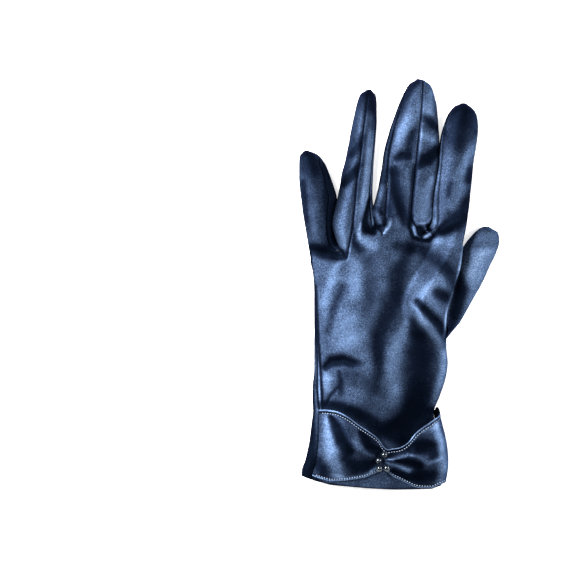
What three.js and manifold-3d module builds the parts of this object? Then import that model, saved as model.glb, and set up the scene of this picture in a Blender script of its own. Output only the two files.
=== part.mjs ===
// A wrist-length dress glove of dark satin for the left hand, lying palm down.
// The fingers point along +Y and the thumb lies folded under the hand towards +X.
// Each piece of cloth is a wall of its own, and the pieces meet edge to edge at the seams:
// a back panel and a palm panel with four finger strips each, three strips between the
// fingers, a thumb, and a bow band across the cuff that four beads pinch in the middle.

import * as THREE from 'three';
import Module from 'manifold-3d';

// Driving dimensions, in millimetres and degrees
const bodyLength = 142.5;
const palmWidth = 85;
const palmDepth = 13;
const edgeRadius = 2.8;
const wall = 1;
const seamGap = 0.35;
const seamRoll = 8;
const fourchetteWidth = 15;
const tipLength = 6;
const tipHeight = 0.42;
const crotchDip = 2.2;
const crotchSpread = 7;
const fingerGap = 1;
const foldDepth = 2.6;

const thumbLength = 66.6;
const thumbWidth = 24;
const thumbDepth = 7.6;
const thumbTilt = 30.5;
const thumbMouthWidth = 20;
const thumbMouthLength = 18;
const thumbClearance = 1.2;
const drapeWidth = 13;

const bandHeight = 38;
const bandClearance = 0.5;
const bandPuff = 3.4;
const bandStandOff = 4;
const pleatHeight = 1.8;
const pleatCount = 2.5;
const pleatReach = 0.17;

const beadDiameter = 3.6;
const beadClearance = 0.4;

// Where the fingers leave the hand: across as a share of palmWidth from the hand's middle,
// along as a share of bodyLength from the hem
const frontLine = [
  { across: -0.464, along: 0.894 },
  { across: -0.225, along: 0.906 },
  { across: 0.007, along: 1.0 },
  { across: 0.265, along: 0.98 },
  { across: 0.535, along: 0.949 },
];

const hemLine = [
  { across: -0.522, along: 0.053 },
  { across: -0.43, along: 0.035 },
  { across: -0.33, along: 0.02 },
  { across: -0.1, along: 0.008 },
  { across: 0.086, along: 0.002 },
  { across: 0.337, along: 0.003 },
  { across: 0.417, along: 0.02 },
];

// The hand from hem to finger line: sides as shares of palmWidth, crown as a share of
// palmDepth, roll as the share of seamRoll by which the little-finger seam lies on top
const bodySections = [
  { at: 0.0, left: -0.522, right: 0.404, crown: 0.66, roll: 1.0 },
  { at: 0.04, left: -0.515, right: 0.414, crown: 0.68, roll: 1.0 },
  { at: 0.08, left: -0.496, right: 0.413, crown: 0.7, roll: 0.98 },
  { at: 0.14, left: -0.476, right: 0.404, crown: 0.74, roll: 0.92 },
  { at: 0.2, left: -0.463, right: 0.388, crown: 0.78, roll: 0.86 },
  { at: 0.25, left: -0.455, right: 0.37, crown: 0.82, roll: 0.78 },
  { at: 0.31, left: -0.445, right: 0.354, crown: 0.86, roll: 0.7 },
  { at: 0.36, left: -0.447, right: 0.387, crown: 0.9, roll: 0.62 },
  { at: 0.43, left: -0.445, right: 0.427, crown: 0.94, roll: 0.52 },
  { at: 0.5, left: -0.438, right: 0.445, crown: 0.97, roll: 0.44 },
  { at: 0.58, left: -0.436, right: 0.434, crown: 1.0, roll: 0.38 },
  { at: 0.66, left: -0.436, right: 0.425, crown: 1.0, roll: 0.3 },
  { at: 0.72, left: -0.436, right: 0.431, crown: 1.0, roll: 0.24 },
  { at: 0.78, left: -0.436, right: 0.449, crown: 0.98, roll: 0.18 },
  { at: 0.84, left: -0.437, right: 0.48, crown: 0.95, roll: 0.12 },
  { at: 0.89, left: -0.439, right: 0.51, crown: 0.92, roll: 0.08 },
  { at: 0.95, left: -0.449, right: 0.526, crown: 0.88, roll: 0.04 },
  { at: 1.0, left: -0.464, right: 0.535, crown: 0.84, roll: 0.0 },
];

// The hand's main folds: from one end to the other, across and along as in frontLine,
// with the half width as a share of palmWidth and the depth as a share of foldDepth
const folds = [
  { name: 'middle valley', x0: 0.14, y0: 0.88, x1: 0.0, y1: 0.46, width: 0.065, depth: 0.75 },
  { name: 'hollow above bow', x0: 0.24, y0: 0.56, x1: 0.17, y1: 0.26, width: 0.1, depth: 1.0 },
  { name: 'thumb crease', x0: 0.26, y0: 0.74, x1: 0.42, y1: 0.62, width: 0.05, depth: 0.8 },
  { name: 'thumb ridge', x0: 0.2, y0: 0.72, x1: 0.4, y1: 0.55, width: 0.045, depth: -0.6 },
  { name: 'wrist crescent', x0: -0.36, y0: 0.47, x1: -0.13, y1: 0.52, width: 0.045, depth: 0.8 },
  { name: 'heel crease', x0: -0.31, y0: 0.42, x1: -0.27, y1: 0.3, width: 0.04, depth: 0.5 },
  { name: 'knuckle sweep', x0: -0.24, y0: 0.86, x1: -0.38, y1: 0.62, width: 0.045, depth: 0.45 },
];

// The fingers, from the little finger to the index finger. rootAcross and rootAlong place
// the axis as in frontLine, and tilt leans it towards +X
const fingers = [
  {
    name: 'little', rootAcross: -0.344, rootAlong: 0.9, tilt: -11.1,
    length: 62.6, width: 20, depth: 8.2,
    sections: [
      { at: 0.08, left: -0.48, right: 0.3, crown: 1.0 },
      { at: 0.22, left: -0.47, right: 0.3, crown: 1.0 },
      { at: 0.34, left: -0.46, right: 0.38, crown: 1.0 },
      { at: 0.46, left: -0.45, right: 0.49, crown: 0.98 },
      { at: 0.54, left: -0.43, right: 0.56, crown: 0.96 },
      { at: 0.64, left: -0.41, right: 0.53, crown: 0.95 },
      { at: 0.76, left: -0.37, right: 0.48, crown: 0.94 },
      { at: 0.86, left: -0.31, right: 0.41, crown: 0.92 },
      { at: 0.93, left: -0.26, right: 0.3, crown: 0.9 },
      { at: 0.97, left: -0.22, right: 0.19, crown: 0.86 },
      { at: 1.0, left: -0.12, right: 0.07, crown: 0.8 },
    ],
    seams: [
      { at: 0.08, leftUp: 0, leftLow: 0, rightUp: 0.36, rightLow: 0.3 },
      { at: 0.4, leftUp: 0, leftLow: 0, rightUp: 0.42, rightLow: 0.3 },
      { at: 0.8, leftUp: 0, leftLow: 0, rightUp: 0.3, rightLow: 0.15 },
    ],
  },
  {
    name: 'ring', rootAcross: -0.109, rootAlong: 0.953, tilt: 2.0,
    length: 88.1, width: 19, depth: 10.4,
    sections: [
      { at: 0.05, left: -0.78, right: 0.33, crown: 0.9 },
      { at: 0.15, left: -0.83, right: 0.29, crown: 0.92 },
      { at: 0.22, left: -0.8, right: 0.23, crown: 0.95 },
      { at: 0.3, left: -0.75, right: 0.18, crown: 1.0 },
      { at: 0.38, left: -0.71, right: 0.17, crown: 1.0 },
      { at: 0.46, left: -0.66, right: 0.18, crown: 1.0 },
      { at: 0.54, left: -0.58, right: 0.19, crown: 0.98 },
      { at: 0.66, left: -0.51, right: 0.22, crown: 0.94 },
      { at: 0.78, left: -0.43, right: 0.235, crown: 0.9 },
      { at: 0.87, left: -0.36, right: 0.225, crown: 0.86 },
      { at: 0.93, left: -0.305, right: 0.21, crown: 0.8 },
      { at: 0.97, left: -0.23, right: 0.17, crown: 0.74 },
      { at: 1.0, left: -0.1, right: 0.06, crown: 0.7 },
    ],
    seams: [
      { at: 0.05, leftUp: 0.78, leftLow: 0.3, rightUp: 0.26, rightLow: 0.35 },
      { at: 0.3, leftUp: 0.8, leftLow: 0.3, rightUp: 0.2, rightLow: 0.42 },
      { at: 0.6, leftUp: 0.7, leftLow: 0.28, rightUp: 0.14, rightLow: 0.42 },
      { at: 0.85, leftUp: 0.58, leftLow: 0.22, rightUp: 0.1, rightLow: 0.35 },
    ],
  },
  {
    name: 'middle', rootAcross: 0.135, rootAlong: 0.99, tilt: 6.7,
    length: 89.2, width: 30, depth: 8.6,
    sections: [
      { at: 0.05, left: -0.455, right: 0.5, crown: 1.0 },
      { at: 0.15, left: -0.485, right: 0.49, crown: 1.0 },
      { at: 0.22, left: -0.485, right: 0.475, crown: 1.0 },
      { at: 0.3, left: -0.48, right: 0.465, crown: 0.98 },
      { at: 0.4, left: -0.485, right: 0.475, crown: 0.96 },
      { at: 0.5, left: -0.485, right: 0.49, crown: 0.98 },
      { at: 0.62, left: -0.44, right: 0.475, crown: 1.0 },
      { at: 0.7, left: -0.4, right: 0.44, crown: 1.0 },
      { at: 0.78, left: -0.35, right: 0.4, crown: 1.0 },
      { at: 0.87, left: -0.275, right: 0.34, crown: 0.98 },
      { at: 0.93, left: -0.215, right: 0.27, crown: 0.94 },
      { at: 0.97, left: -0.14, right: 0.195, crown: 0.88 },
      { at: 1.0, left: -0.05, right: 0.11, crown: 0.8 },
    ],
    seams: [
      { at: 0.08, leftUp: 0.42, leftLow: 0.3, rightUp: 0.86, rightLow: 0.15 },
      { at: 0.32, leftUp: 0.34, leftLow: 0.35, rightUp: 0.83, rightLow: 0.15 },
      { at: 0.58, leftUp: 0.24, leftLow: 0.35, rightUp: 0.9, rightLow: 0.1 },
      { at: 0.85, leftUp: 0.14, leftLow: 0.25, rightUp: 0.7, rightLow: 0.08 },
    ],
  },
  {
    name: 'index', rootAcross: 0.4, rootAlong: 0.965, tilt: 9.1,
    length: 79.7, width: 21, depth: 9,
    sections: [
      { at: 0.06, left: -0.3, right: 0.56, crown: 1.0 },
      { at: 0.15, left: -0.34, right: 0.56, crown: 1.0 },
      { at: 0.22, left: -0.37, right: 0.56, crown: 1.0 },
      { at: 0.34, left: -0.395, right: 0.565, crown: 1.0 },
      { at: 0.46, left: -0.39, right: 0.555, crown: 0.98 },
      { at: 0.6, left: -0.4, right: 0.52, crown: 0.97 },
      { at: 0.72, left: -0.43, right: 0.52, crown: 0.96 },
      { at: 0.82, left: -0.415, right: 0.505, crown: 0.95 },
      { at: 0.89, left: -0.37, right: 0.455, crown: 0.93 },
      { at: 0.93, left: -0.31, right: 0.4, crown: 0.9 },
      { at: 0.97, left: -0.21, right: 0.28, crown: 0.86 },
      { at: 1.0, left: -0.08, right: 0.12, crown: 0.8 },
    ],
    seams: [
      { at: 0.08, leftUp: 0.4, leftLow: 0.3, rightUp: 0, rightLow: 0 },
      { at: 0.5, leftUp: 0.2, leftLow: 0.5, rightUp: 0, rightLow: 0 },
      { at: 0.8, leftUp: 0.12, leftLow: 0.3, rightUp: 0, rightLow: 0 },
    ],
  },
];

// The thumb's base on the hand, placed as in frontLine, and its sections as shares of
// thumbWidth and thumbDepth
const thumbRoot = { across: 0.33, along: 0.625 };
const thumbSections = [
  { at: 0.0, left: -0.5, right: 0.5, crown: 1.0 },
  { at: 0.2, left: -0.48, right: 0.505, crown: 1.0 },
  { at: 0.38, left: -0.42, right: 0.495, crown: 1.0 },
  { at: 0.55, left: -0.375, right: 0.483, crown: 1.0 },
  { at: 0.72, left: -0.33, right: 0.437, crown: 0.98 },
  { at: 0.83, left: -0.31, right: 0.41, crown: 0.96 },
  { at: 0.93, left: -0.24, right: 0.345, crown: 0.94 },
  { at: 0.98, left: -0.15, right: 0.25, crown: 0.9 },
  { at: 1.0, left: -0.06, right: 0.18, crown: 0.86 },
];

// The bow band from the little-finger seam round the back to the other side seam. low and
// high are its edges above the hem as shares of bandHeight, puff and stand are shares of
// bandPuff and bandStandOff
const bandSections = [
  { around: 0.0, low: 0.07, high: 1.06, puff: 0.05, stand: 0.0 },
  { around: 0.09, low: 0.06, high: 1.1, puff: 0.45, stand: 0.05 },
  { around: 0.17, low: 0.07, high: 1.09, puff: 0.8, stand: 0.1 },
  { around: 0.25, low: 0.1, high: 1.03, puff: 1.0, stand: 0.15 },
  { around: 0.327, low: 0.137, high: 0.94, puff: 0.95, stand: 0.15 },
  { around: 0.408, low: 0.19, high: 0.83, puff: 0.7, stand: 0.15 },
  { around: 0.471, low: 0.26, high: 0.7, puff: 0.3, stand: 0.1 },
  { around: 0.5, low: 0.295, high: 0.6, puff: 0.1, stand: 0.1 },
  { around: 0.529, low: 0.28, high: 0.56, puff: 0.3, stand: 0.1 },
  { around: 0.583, low: 0.21, high: 0.59, puff: 0.6, stand: 0.15 },
  { around: 0.646, low: 0.15, high: 0.64, puff: 0.8, stand: 0.2 },
  { around: 0.708, low: 0.092, high: 0.71, puff: 0.95, stand: 0.3 },
  { around: 0.762, low: 0.045, high: 0.82, puff: 1.0, stand: 0.45 },
  { around: 0.84, low: 0.024, high: 0.92, puff: 0.8, stand: 0.7 },
  { around: 0.924, low: 0.03, high: 0.99, puff: 0.5, stand: 0.95 },
  { around: 1.0, low: 0.06, high: 1.04, puff: 0.3, stand: 1.0 },
];
const pinch = { around: 0.5, up: 0.45 };

// The beads about the pinch, as shares of beadDiameter
const beads = [
  { across: 0.25, along: 1.0 },
  { across: -0.6, along: 0.08 },
  { across: -0.5, along: -1.1 },
  { across: 0.62, along: -1.08 },
];

// How finely the cloth is divided
const bodyRows = 22;
const bandColumns = 36;
const bandRows = 10;
const thumbSides = 20;
const sideCells = 2;
const innerSteps = [0, 0.15, 0.38, 0.62, 0.85, 1];
const littleSteps = [0, 0.08, 0.2, 0.45, 0.75, 1];
const indexSteps = littleSteps.map((step) => 1 - step).reverse();
const fingerSteps = [littleSteps, innerSteps, innerSteps, indexSteps];
const fingerStations = [
  0.025, 0.06, 0.1, 0.15, 0.22, 0.31, 0.41, 0.52, 0.63, 0.73, 0.82, 0.89, 0.93, 0.968, 1,
];
const sideSeamRows = 14;
const seamEnd = fingerStations[sideSeamRows - 1];
const seamFade = 0.13;
const rootBlend = 0.15;
const seamPointWidth = 1.25;

const clamp = (value, low, high) => Math.min(Math.max(value, low), high);
const mix = (a, b, share) => a + (b - a) * share;
const smooth = (share) => {
  const s = clamp(share, 0, 1);
  return s * s * (3 - 2 * s);
};

// A smooth value of one column of a table at a place between its rows
function look(table, key, column, place) {
  const last = table.length - 1;
  let i = 0;
  while (i < last - 1 && place > table[i + 1][key]) i += 1;
  const slope = (a, b) => (table[b][column] - table[a][column]) / (table[b][key] - table[a][key]);
  const span = table[i + 1][key] - table[i][key];
  const s = clamp((place - table[i][key]) / span, 0, 1);
  const here = slope(i, i + 1);
  const before = i > 0 ? (slope(i - 1, i) + here) / 2 : here;
  const after = i + 1 < last ? (slope(i + 1, i + 2) + here) / 2 : here;
  return (
    (2 * s ** 3 - 3 * s ** 2 + 1) * table[i][column] +
    (s ** 3 - 2 * s ** 2 + s) * span * before +
    (-2 * s ** 3 + 3 * s ** 2) * table[i + 1][column] +
    (s ** 3 - s ** 2) * span * after
  );
}

// A straight-line value of one column between a table's rows
function lookStraight(table, key, column, place) {
  const last = table.length - 1;
  let i = 0;
  while (i < last - 1 && place > table[i + 1][key]) i += 1;
  const share = clamp((place - table[i][key]) / (table[i + 1][key] - table[i][key]), 0, 1);
  return mix(table[i][column], table[i + 1][column], share);
}

// The closed outline of a lying tube of cloth: flat below, domed above, round at the sides.
// It starts at the left side's middle and runs over the top, so distance along it is the
// measure by which seams are placed
function outline(halfWidth, radius, crown) {
  const arcSteps = 8;
  const flatSteps = 32;
  const core = halfWidth - radius;
  const rise = Math.max(crown - 2 * radius, 0);
  const lean = Math.atan((2 * rise) / core);
  const points = [];
  const arc = (x, z, from, to) => {
    for (let i = 0; i <= arcSteps; i += 1) {
      const angle = mix(from, to, i / arcSteps);
      points.push({ x: x + radius * Math.cos(angle), z: z + radius * Math.sin(angle) });
    }
  };
  arc(-core, radius, Math.PI, Math.PI / 2 + lean);
  for (let i = 1; i < flatSteps; i += 1) {
    const t = mix(-1, 1, i / flatSteps);
    const angle = Math.PI / 2 - Math.atan((2 * rise * t) / core);
    points.push({
      x: core * t + radius * Math.cos(angle),
      z: radius + rise * (1 - t * t) + radius * Math.sin(angle),
    });
  }
  arc(core, radius, Math.PI / 2 - lean, 0);
  const rightMiddle = points.length - 1;
  arc(core, radius, 0, -Math.PI / 2);
  arc(-core, radius, -Math.PI / 2, -Math.PI);
  const distances = [0];
  for (let i = 1; i < points.length; i += 1) {
    const step = Math.hypot(points[i].x - points[i - 1].x, points[i].z - points[i - 1].z);
    distances.push(distances[i - 1] + step);
  }
  return { points, distances, right: distances[rightMiddle], total: distances[points.length - 1] };
}

function outlinePoint(ring, distance) {
  const wrapped = ((distance % ring.total) + ring.total) % ring.total;
  let i = 1;
  while (i < ring.distances.length - 1 && ring.distances[i] < wrapped) i += 1;
  const span = ring.distances[i] - ring.distances[i - 1];
  const share = span > 0 ? (wrapped - ring.distances[i - 1]) / span : 0;
  return {
    x: mix(ring.points[i - 1].x, ring.points[i].x, share),
    z: mix(ring.points[i - 1].z, ring.points[i].z, share),
  };
}

// The distance along the top of an outline at which it reaches x
function topDistanceAt(ring, x) {
  let low = 0;
  let high = ring.right;
  for (let i = 0; i < 30; i += 1) {
    const middle = (low + high) / 2;
    if (outlinePoint(ring, middle).x < x) low = middle;
    else high = middle;
  }
  return (low + high) / 2;
}

function bottomDistanceAt(ring, x) {
  let low = ring.right;
  let high = ring.total;
  for (let i = 0; i < 30; i += 1) {
    const middle = (low + high) / 2;
    if (outlinePoint(ring, middle).x > x) low = middle;
    else high = middle;
  }
  return (low + high) / 2;
}

// The thumb's axis on the surface that the glove lies on
const thumbAngle = THREE.MathUtils.degToRad(thumbTilt);
const thumbAxis = new THREE.Vector2(Math.sin(thumbAngle), Math.cos(thumbAngle));
const thumbSide = new THREE.Vector2(thumbAxis.y, -thumbAxis.x);
const thumbBase = new THREE.Vector2(thumbRoot.across * palmWidth, thumbRoot.along * bodyLength);
const thumbReliefStart = thumbMouthLength / 2 + thumbWidth / 4;

// How far the cloth of the hand is lifted where it lies over the thumb
function thumbLift(x, y) {
  const point = new THREE.Vector2(x, y).sub(thumbBase);
  const along = clamp(point.dot(thumbAxis), thumbReliefStart, thumbLength);
  const away = point.clone().addScaledVector(thumbAxis, -along).length();
  const outside = (away - thumbWidth / 2) / drapeWidth;
  return (thumbDepth + thumbClearance) * (1 - smooth(outside));
}

// How deep the folds and the dips at the finger crotches are
function foldsAt(x, y) {
  let depth = 0;
  for (const fold of folds) {
    const start = new THREE.Vector2(fold.x0 * palmWidth, fold.y0 * bodyLength);
    const end = new THREE.Vector2(fold.x1 * palmWidth, fold.y1 * bodyLength);
    const run = end.clone().sub(start);
    const place = new THREE.Vector2(x, y).sub(start);
    const share = place.dot(run) / run.lengthSq();
    const away = place.addScaledVector(run, -clamp(share, 0, 1)).length();
    const taper = 1 - 0.5 * smooth(Math.abs(share - 0.5) * 2);
    depth += fold.depth * foldDepth * taper * Math.exp(-((away / (fold.width * palmWidth)) ** 2));
  }
  for (const crotch of frontLine.slice(1, -1)) {
    const away = Math.hypot(x - crotch.across * palmWidth, y - crotch.along * bodyLength);
    depth += crotchDip * Math.exp(-((away / crotchSpread) ** 2));
  }
  return depth;
}

// Folds shape the upper cloth only, and fade out towards the sides
const settle = (x, y, z, crown) => {
  const weight = smooth((z - edgeRadius) / Math.max(crown - 2 * edgeRadius, 1));
  return z - weight * foldsAt(x, y) + thumbLift(x, y);
};

const lineAt = (line, x) => lookStraight(line, 'across', 'along', x / palmWidth) * bodyLength;
const section = (column, at) => look(bodySections, 'at', column, at);

// One cross-section of the hand at a share of the way from hem to finger line
function bodyRing(at) {
  const left = section('left', at) * palmWidth;
  const right = section('right', at) * palmWidth;
  const crown = section('crown', at) * palmDepth;
  const ring = outline((right - left) / 2, edgeRadius, crown);
  return { ...ring, at, crown, centre: (left + right) / 2, seam: section('roll', at) * seamRoll };
}

function bodyPoint(ring, distance) {
  const p = outlinePoint(ring, distance);
  const x = ring.centre + p.x;
  const y = mix(lineAt(hemLine, x), lineAt(frontLine, x), ring.at);
  return new THREE.Vector3(x, y, settle(x, y, p.z, ring.crown));
}

// Where the four finger groups part on a cross-section, as distances along its top or bottom
const crotchAcross = frontLine.map((crotch) => crotch.across * palmWidth);
const frontRing = bodyRing(1);
const inFront = (across) => across - frontRing.centre;

function groupEdges(ring, onTop) {
  const start = onTop ? ring.seam : ring.total + ring.seam;
  const frontStart = onTop ? frontRing.seam : frontRing.total + frontRing.seam;
  const find = onTop ? topDistanceAt : bottomDistanceAt;
  const edges = [];
  for (let group = 0; group <= fingers.length; group += 1) {
    let share = group / fingers.length;
    if (group > 0 && group < fingers.length) {
      const front = find(frontRing, inFront(crotchAcross[group]));
      share = mix(share, (front - frontStart) / (frontRing.right - frontStart), smooth(ring.at));
    }
    edges.push(mix(start, ring.right, share));
  }
  return edges;
}

// One row of the hand's upper or lower cloth, from the little-finger side to the index side
function bodyRow(at, onTop) {
  const ring = bodyRing(at);
  const edges = groupEdges(ring, onTop);
  const row = [];
  fingers.forEach((finger, group) => {
    const steps = group === 0 ? fingerSteps[group] : fingerSteps[group].slice(1);
    for (const step of steps) row.push(bodyPoint(ring, mix(edges[group], edges[group + 1], step)));
  });
  return row;
}

const firstColumn = fingers.map((finger, group) =>
  fingerSteps.slice(0, group).reduce((sum, steps) => sum + steps.length - 1, 0),
);

// The straight wall of cloth at a crotch, from the upper panel to the lower one
function crotchWall(upper, lower) {
  const wallPoints = [];
  for (let i = 0; i <= sideCells; i += 1) {
    wallPoints.push(upper.clone().lerp(lower, i / sideCells));
  }
  return wallPoints;
}

// A finger's cross-section at a station, in the glove's frame, as four runs of points
function fingerRing(finger, index, at) {
  const axis = axisOf(finger);
  const left = look(finger.sections, 'at', 'left', at) * finger.width;
  const right = look(finger.sections, 'at', 'right', at) * finger.width;
  const tipStart = 1 - tipLength / finger.length;
  const squeeze = Math.sqrt(Math.max(0, 1 - (Math.max(0, at - tipStart) / (1 - tipStart)) ** 2));
  const crown = look(finger.sections, 'at', 'crown', at) * finger.depth;
  const half = (right - left) / 2;
  const radius = Math.min(edgeRadius, half * 0.8, crown * 0.45);
  const ring = outline(half, radius, crown);
  const middle = (left + right) / 2;
  const place = (distance) => {
    const p = outlinePoint(ring, distance);
    const across = middle + p.x;
    const x = finger.rootAcross * palmWidth + axis.x * at * finger.length + axis.y * across;
    const y = finger.rootAlong * bodyLength + axis.y * at * finger.length - axis.x * across;
    const height = mix(tipHeight * crown, p.z, squeeze);
    return new THREE.Vector3(x, y, height + thumbLift(x, y));
  };
  const fade = smooth((seamEnd - at) / seamFade);
  const seam = (column, outer) => {
    if (outer || at > fingerStations[sideSeamRows - 1]) return 0;
    const full = look(finger.seams, 'at', column, at) * fourchetteWidth;
    return Math.max(full * fade, seamPointWidth);
  };
  const outerLeft = index === 0;
  const outerRight = index === fingers.length - 1;
  const leftUp = seam('leftUp', outerLeft);
  const leftLow = ring.total - seam('leftLow', outerLeft);
  const rightUp = ring.right - seam('rightUp', outerRight);
  const rightLow = ring.right + seam('rightLow', outerRight);
  const steps = fingerSteps[index];
  const sides = Array.from({ length: sideCells + 1 }, (unused, i) => i / sideCells);
  const top = steps.map((step) => place(mix(leftUp, rightUp, step)));
  const bottom = steps.map((step) => place(mix(leftLow, rightLow, step)));
  return {
    top,
    bottom: squeeze > 0 ? bottom : top,
    right: sides.map((step) => place(mix(rightUp, rightLow, step))),
    left: sides.map((step) => place(mix(leftUp, leftLow - ring.total, step))),
  };
}

const axisOf = ({ tilt }) => {
  const angle = THREE.MathUtils.degToRad(tilt);
  return new THREE.Vector3(Math.sin(angle), Math.cos(angle), 0);
};

// The way along a finger at its left or right side: neighbours share theirs at a crotch
function sideAxis(index, beside) {
  const own = axisOf(fingers[index]);
  const other = fingers[beside] ? axisOf(fingers[beside]) : own;
  return own.add(other).normalize();
}

// The rows of one run of a finger, grown out of the hand's own row so that no step shows
function fingerRows(finger, index, run, rootRow, rows) {
  const leftAxis = sideAxis(index, index - 1);
  const rightAxis = sideAxis(index, index + 1);
  const shareOf = { left: () => 0, right: () => 1 };
  const share = shareOf[run] ?? ((i) => fingerSteps[index][i]);
  return fingerStations.slice(0, rows).map((at) => {
    const ring = fingerRing(finger, index, at);
    const blend = smooth(at / rootBlend);
    return rootRow.map((root, i) => {
      const along = leftAxis.clone().lerp(rightAxis, share(i));
      const inward = (0.5 - share(i)) * fingerGap * smooth(at / fingerStations[1]);
      const moved = root.clone().addScaledVector(along, at * finger.length);
      moved.x += inward;
      return moved.lerp(ring[run][i], blend);
    });
  });
}

// All cloth surfaces of the hand, as grids of outer points. flip says which way is out
const bodyStations = Array.from({ length: bodyRows + 1 }, (unused, i) => i / bodyRows);
const grids = { back: [], palm: [] };
const handSurfaces = [];
function addGrid(list, rows, flip, kind) {
  const grid = { rows, flip, kind };
  list.push(grid);
  handSurfaces.push(grid);
}

const backRows = bodyStations.map((at) => bodyRow(at, true));
const palmRows = bodyStations.map((at) => bodyRow(at, false));
addGrid(grids.back, backRows, false, 'body');
addGrid(grids.palm, palmRows, true, 'body');
const sideRuns = [];
fingers.forEach((finger, index) => {
  const first = firstColumn[index];
  const last = first + fingerSteps[index].length;
  const backRoot = backRows[bodyRows].slice(first, last);
  const palmRoot = palmRows[bodyRows].slice(first, last);
  const all = fingerStations.length;
  const back = [backRoot, ...fingerRows(finger, index, 'top', backRoot, all)];
  const palm = [palmRoot, ...fingerRows(finger, index, 'bottom', palmRoot, all)];
  addGrid(grids.back, back, false, 'finger');
  addGrid(grids.palm, palm, true, 'finger');
  const leftWall = crotchWall(backRoot[0], palmRoot[0]);
  const rightWall = crotchWall(backRoot[backRoot.length - 1], palmRoot[palmRoot.length - 1]);
  sideRuns.push({
    left: [leftWall, ...fingerRows(finger, index, 'left', leftWall, sideSeamRows)],
    right: [rightWall, ...fingerRows(finger, index, 'right', rightWall, sideSeamRows)],
  });
});
const fourchetteNames = [];
for (let i = 0; i + 1 < fingers.length; i += 1) {
  const name = `fourchette_${fingers[i].name}_${fingers[i + 1].name}`;
  fourchetteNames.push(name);
  grids[name] = [];
  const down = sideRuns[i].right.slice(1).reverse();
  addGrid(grids[name], [...down, ...sideRuns[i + 1].left], true, 'fourchette');
}

// Outward normals at every grid point, shared where grids meet
const keyOf = (p) => `${Math.round(p.x * 1e4)},${Math.round(p.y * 1e4)},${Math.round(p.z * 1e4)}`;

function setInnerPoints(surfaces, thickness) {
  const sums = new Map();
  const addTo = (point, normal) => {
    const key = keyOf(point);
    if (!sums.has(key)) sums.set(key, new THREE.Vector3());
    sums.get(key).add(normal);
  };
  for (const { rows, flip } of surfaces) {
    for (let r = 0; r + 1 < rows.length; r += 1) {
      for (let c = 0; c + 1 < rows[r].length; c += 1) {
        const corners = [rows[r][c], rows[r][c + 1], rows[r + 1][c + 1], rows[r + 1][c]];
        const one = corners[2].clone().sub(corners[0]);
        const two = corners[3].clone().sub(corners[1]);
        const normal = one.cross(two).multiplyScalar(flip ? -1 : 1);
        for (const corner of corners) addTo(corner, normal);
      }
    }
  }
  for (const surface of surfaces) {
    surface.cells = surface.rows.map((row) =>
      row.map((outer) => {
        const inward = sums.get(keyOf(outer)).clone().normalize().multiplyScalar(-thickness);
        return { outer: outer.clone(), inner: outer.clone().add(inward) };
      }),
    );
  }
}

// Draws the edge cells of a surface back from its seams by a distance, along the cloth.
// left and right give the row that an edge's seam starts at, last takes the end row, and
// level keeps each shift square to the cloth's thickness
function trim(surface, { left = Infinity, right = Infinity, last = false, level = false }, distanceAt) {
  const { cells } = surface;
  const shifts = [];
  cells.forEach((row, r) => {
    const end = row.length - 1;
    row.forEach((cell, c) => {
      const across = (c === 0 && r >= left ? 1 : 0) - (c === end && r >= right ? 1 : 0);
      const along = last && r === cells.length - 1 ? -1 : 0;
      if (across === 0 && along === 0) return;
      const inside = along !== 0 && (c === 0 || c === end) ? Math.sign(end / 2 - c) : across;
      const run = cells[r + along][c + inside].outer.clone().sub(cell.outer);
      const reach = run.length();
      if (level) run.projectOnPlane(cell.outer.clone().sub(cell.inner).normalize());
      shifts.push([cell, run.setLength(Math.min(distanceAt(r), 0.6 * reach))]);
    });
  });
  for (const [cell, shift] of shifts) {
    cell.outer.add(shift);
    cell.inner.add(shift);
  }
}

// One closed solid from grids of cells that share their edges
function solidOf(surfaces) {
  const vertexOf = new Map();
  const outer = [];
  const inner = [];
  const faces = [];
  const indexOf = (cell) => {
    const key = keyOf(cell.outer);
    if (!vertexOf.has(key)) {
      vertexOf.set(key, outer.length);
      outer.push(cell.outer);
      inner.push(cell.inner);
    }
    return vertexOf.get(key);
  };
  for (const { cells, flip } of surfaces) {
    for (let r = 0; r + 1 < cells.length; r += 1) {
      for (let c = 0; c + 1 < cells[r].length; c += 1) {
        const around = [cells[r][c], cells[r][c + 1], cells[r + 1][c + 1], cells[r + 1][c]];
        const [a, b, d, e] = around.map(indexOf);
        const pair = [[a, b, d], [a, d, e]];
        for (const face of pair) {
          if (new Set(face).size === 3) faces.push(flip ? face.reverse() : face);
        }
      }
    }
  }
  const count = outer.length;
  const used = new Set();
  for (const [a, b, c] of faces) {
    for (const [from, to] of [[a, b], [b, c], [c, a]]) used.add(`${from},${to}`);
  }
  const triangles = [...faces];
  for (const [a, b, c] of faces) triangles.push([c + count, b + count, a + count]);
  for (const edge of used) {
    const [from, to] = edge.split(',').map(Number);
    if (used.has(`${to},${from}`)) continue;
    triangles.push([to, from, from + count], [to, from + count, to + count]);
  }
  return { points: [...outer, ...inner], triangles };
}

function geometryOf({ points, triangles }) {
  const geometry = new THREE.BufferGeometry();
  geometry.setAttribute(
    'position',
    new THREE.Float32BufferAttribute(points.flatMap((p) => [p.x, p.y, p.z]), 3),
  );
  geometry.setIndex(triangles.flat());
  geometry.computeVertexNormals();
  return geometry;
}

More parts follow.
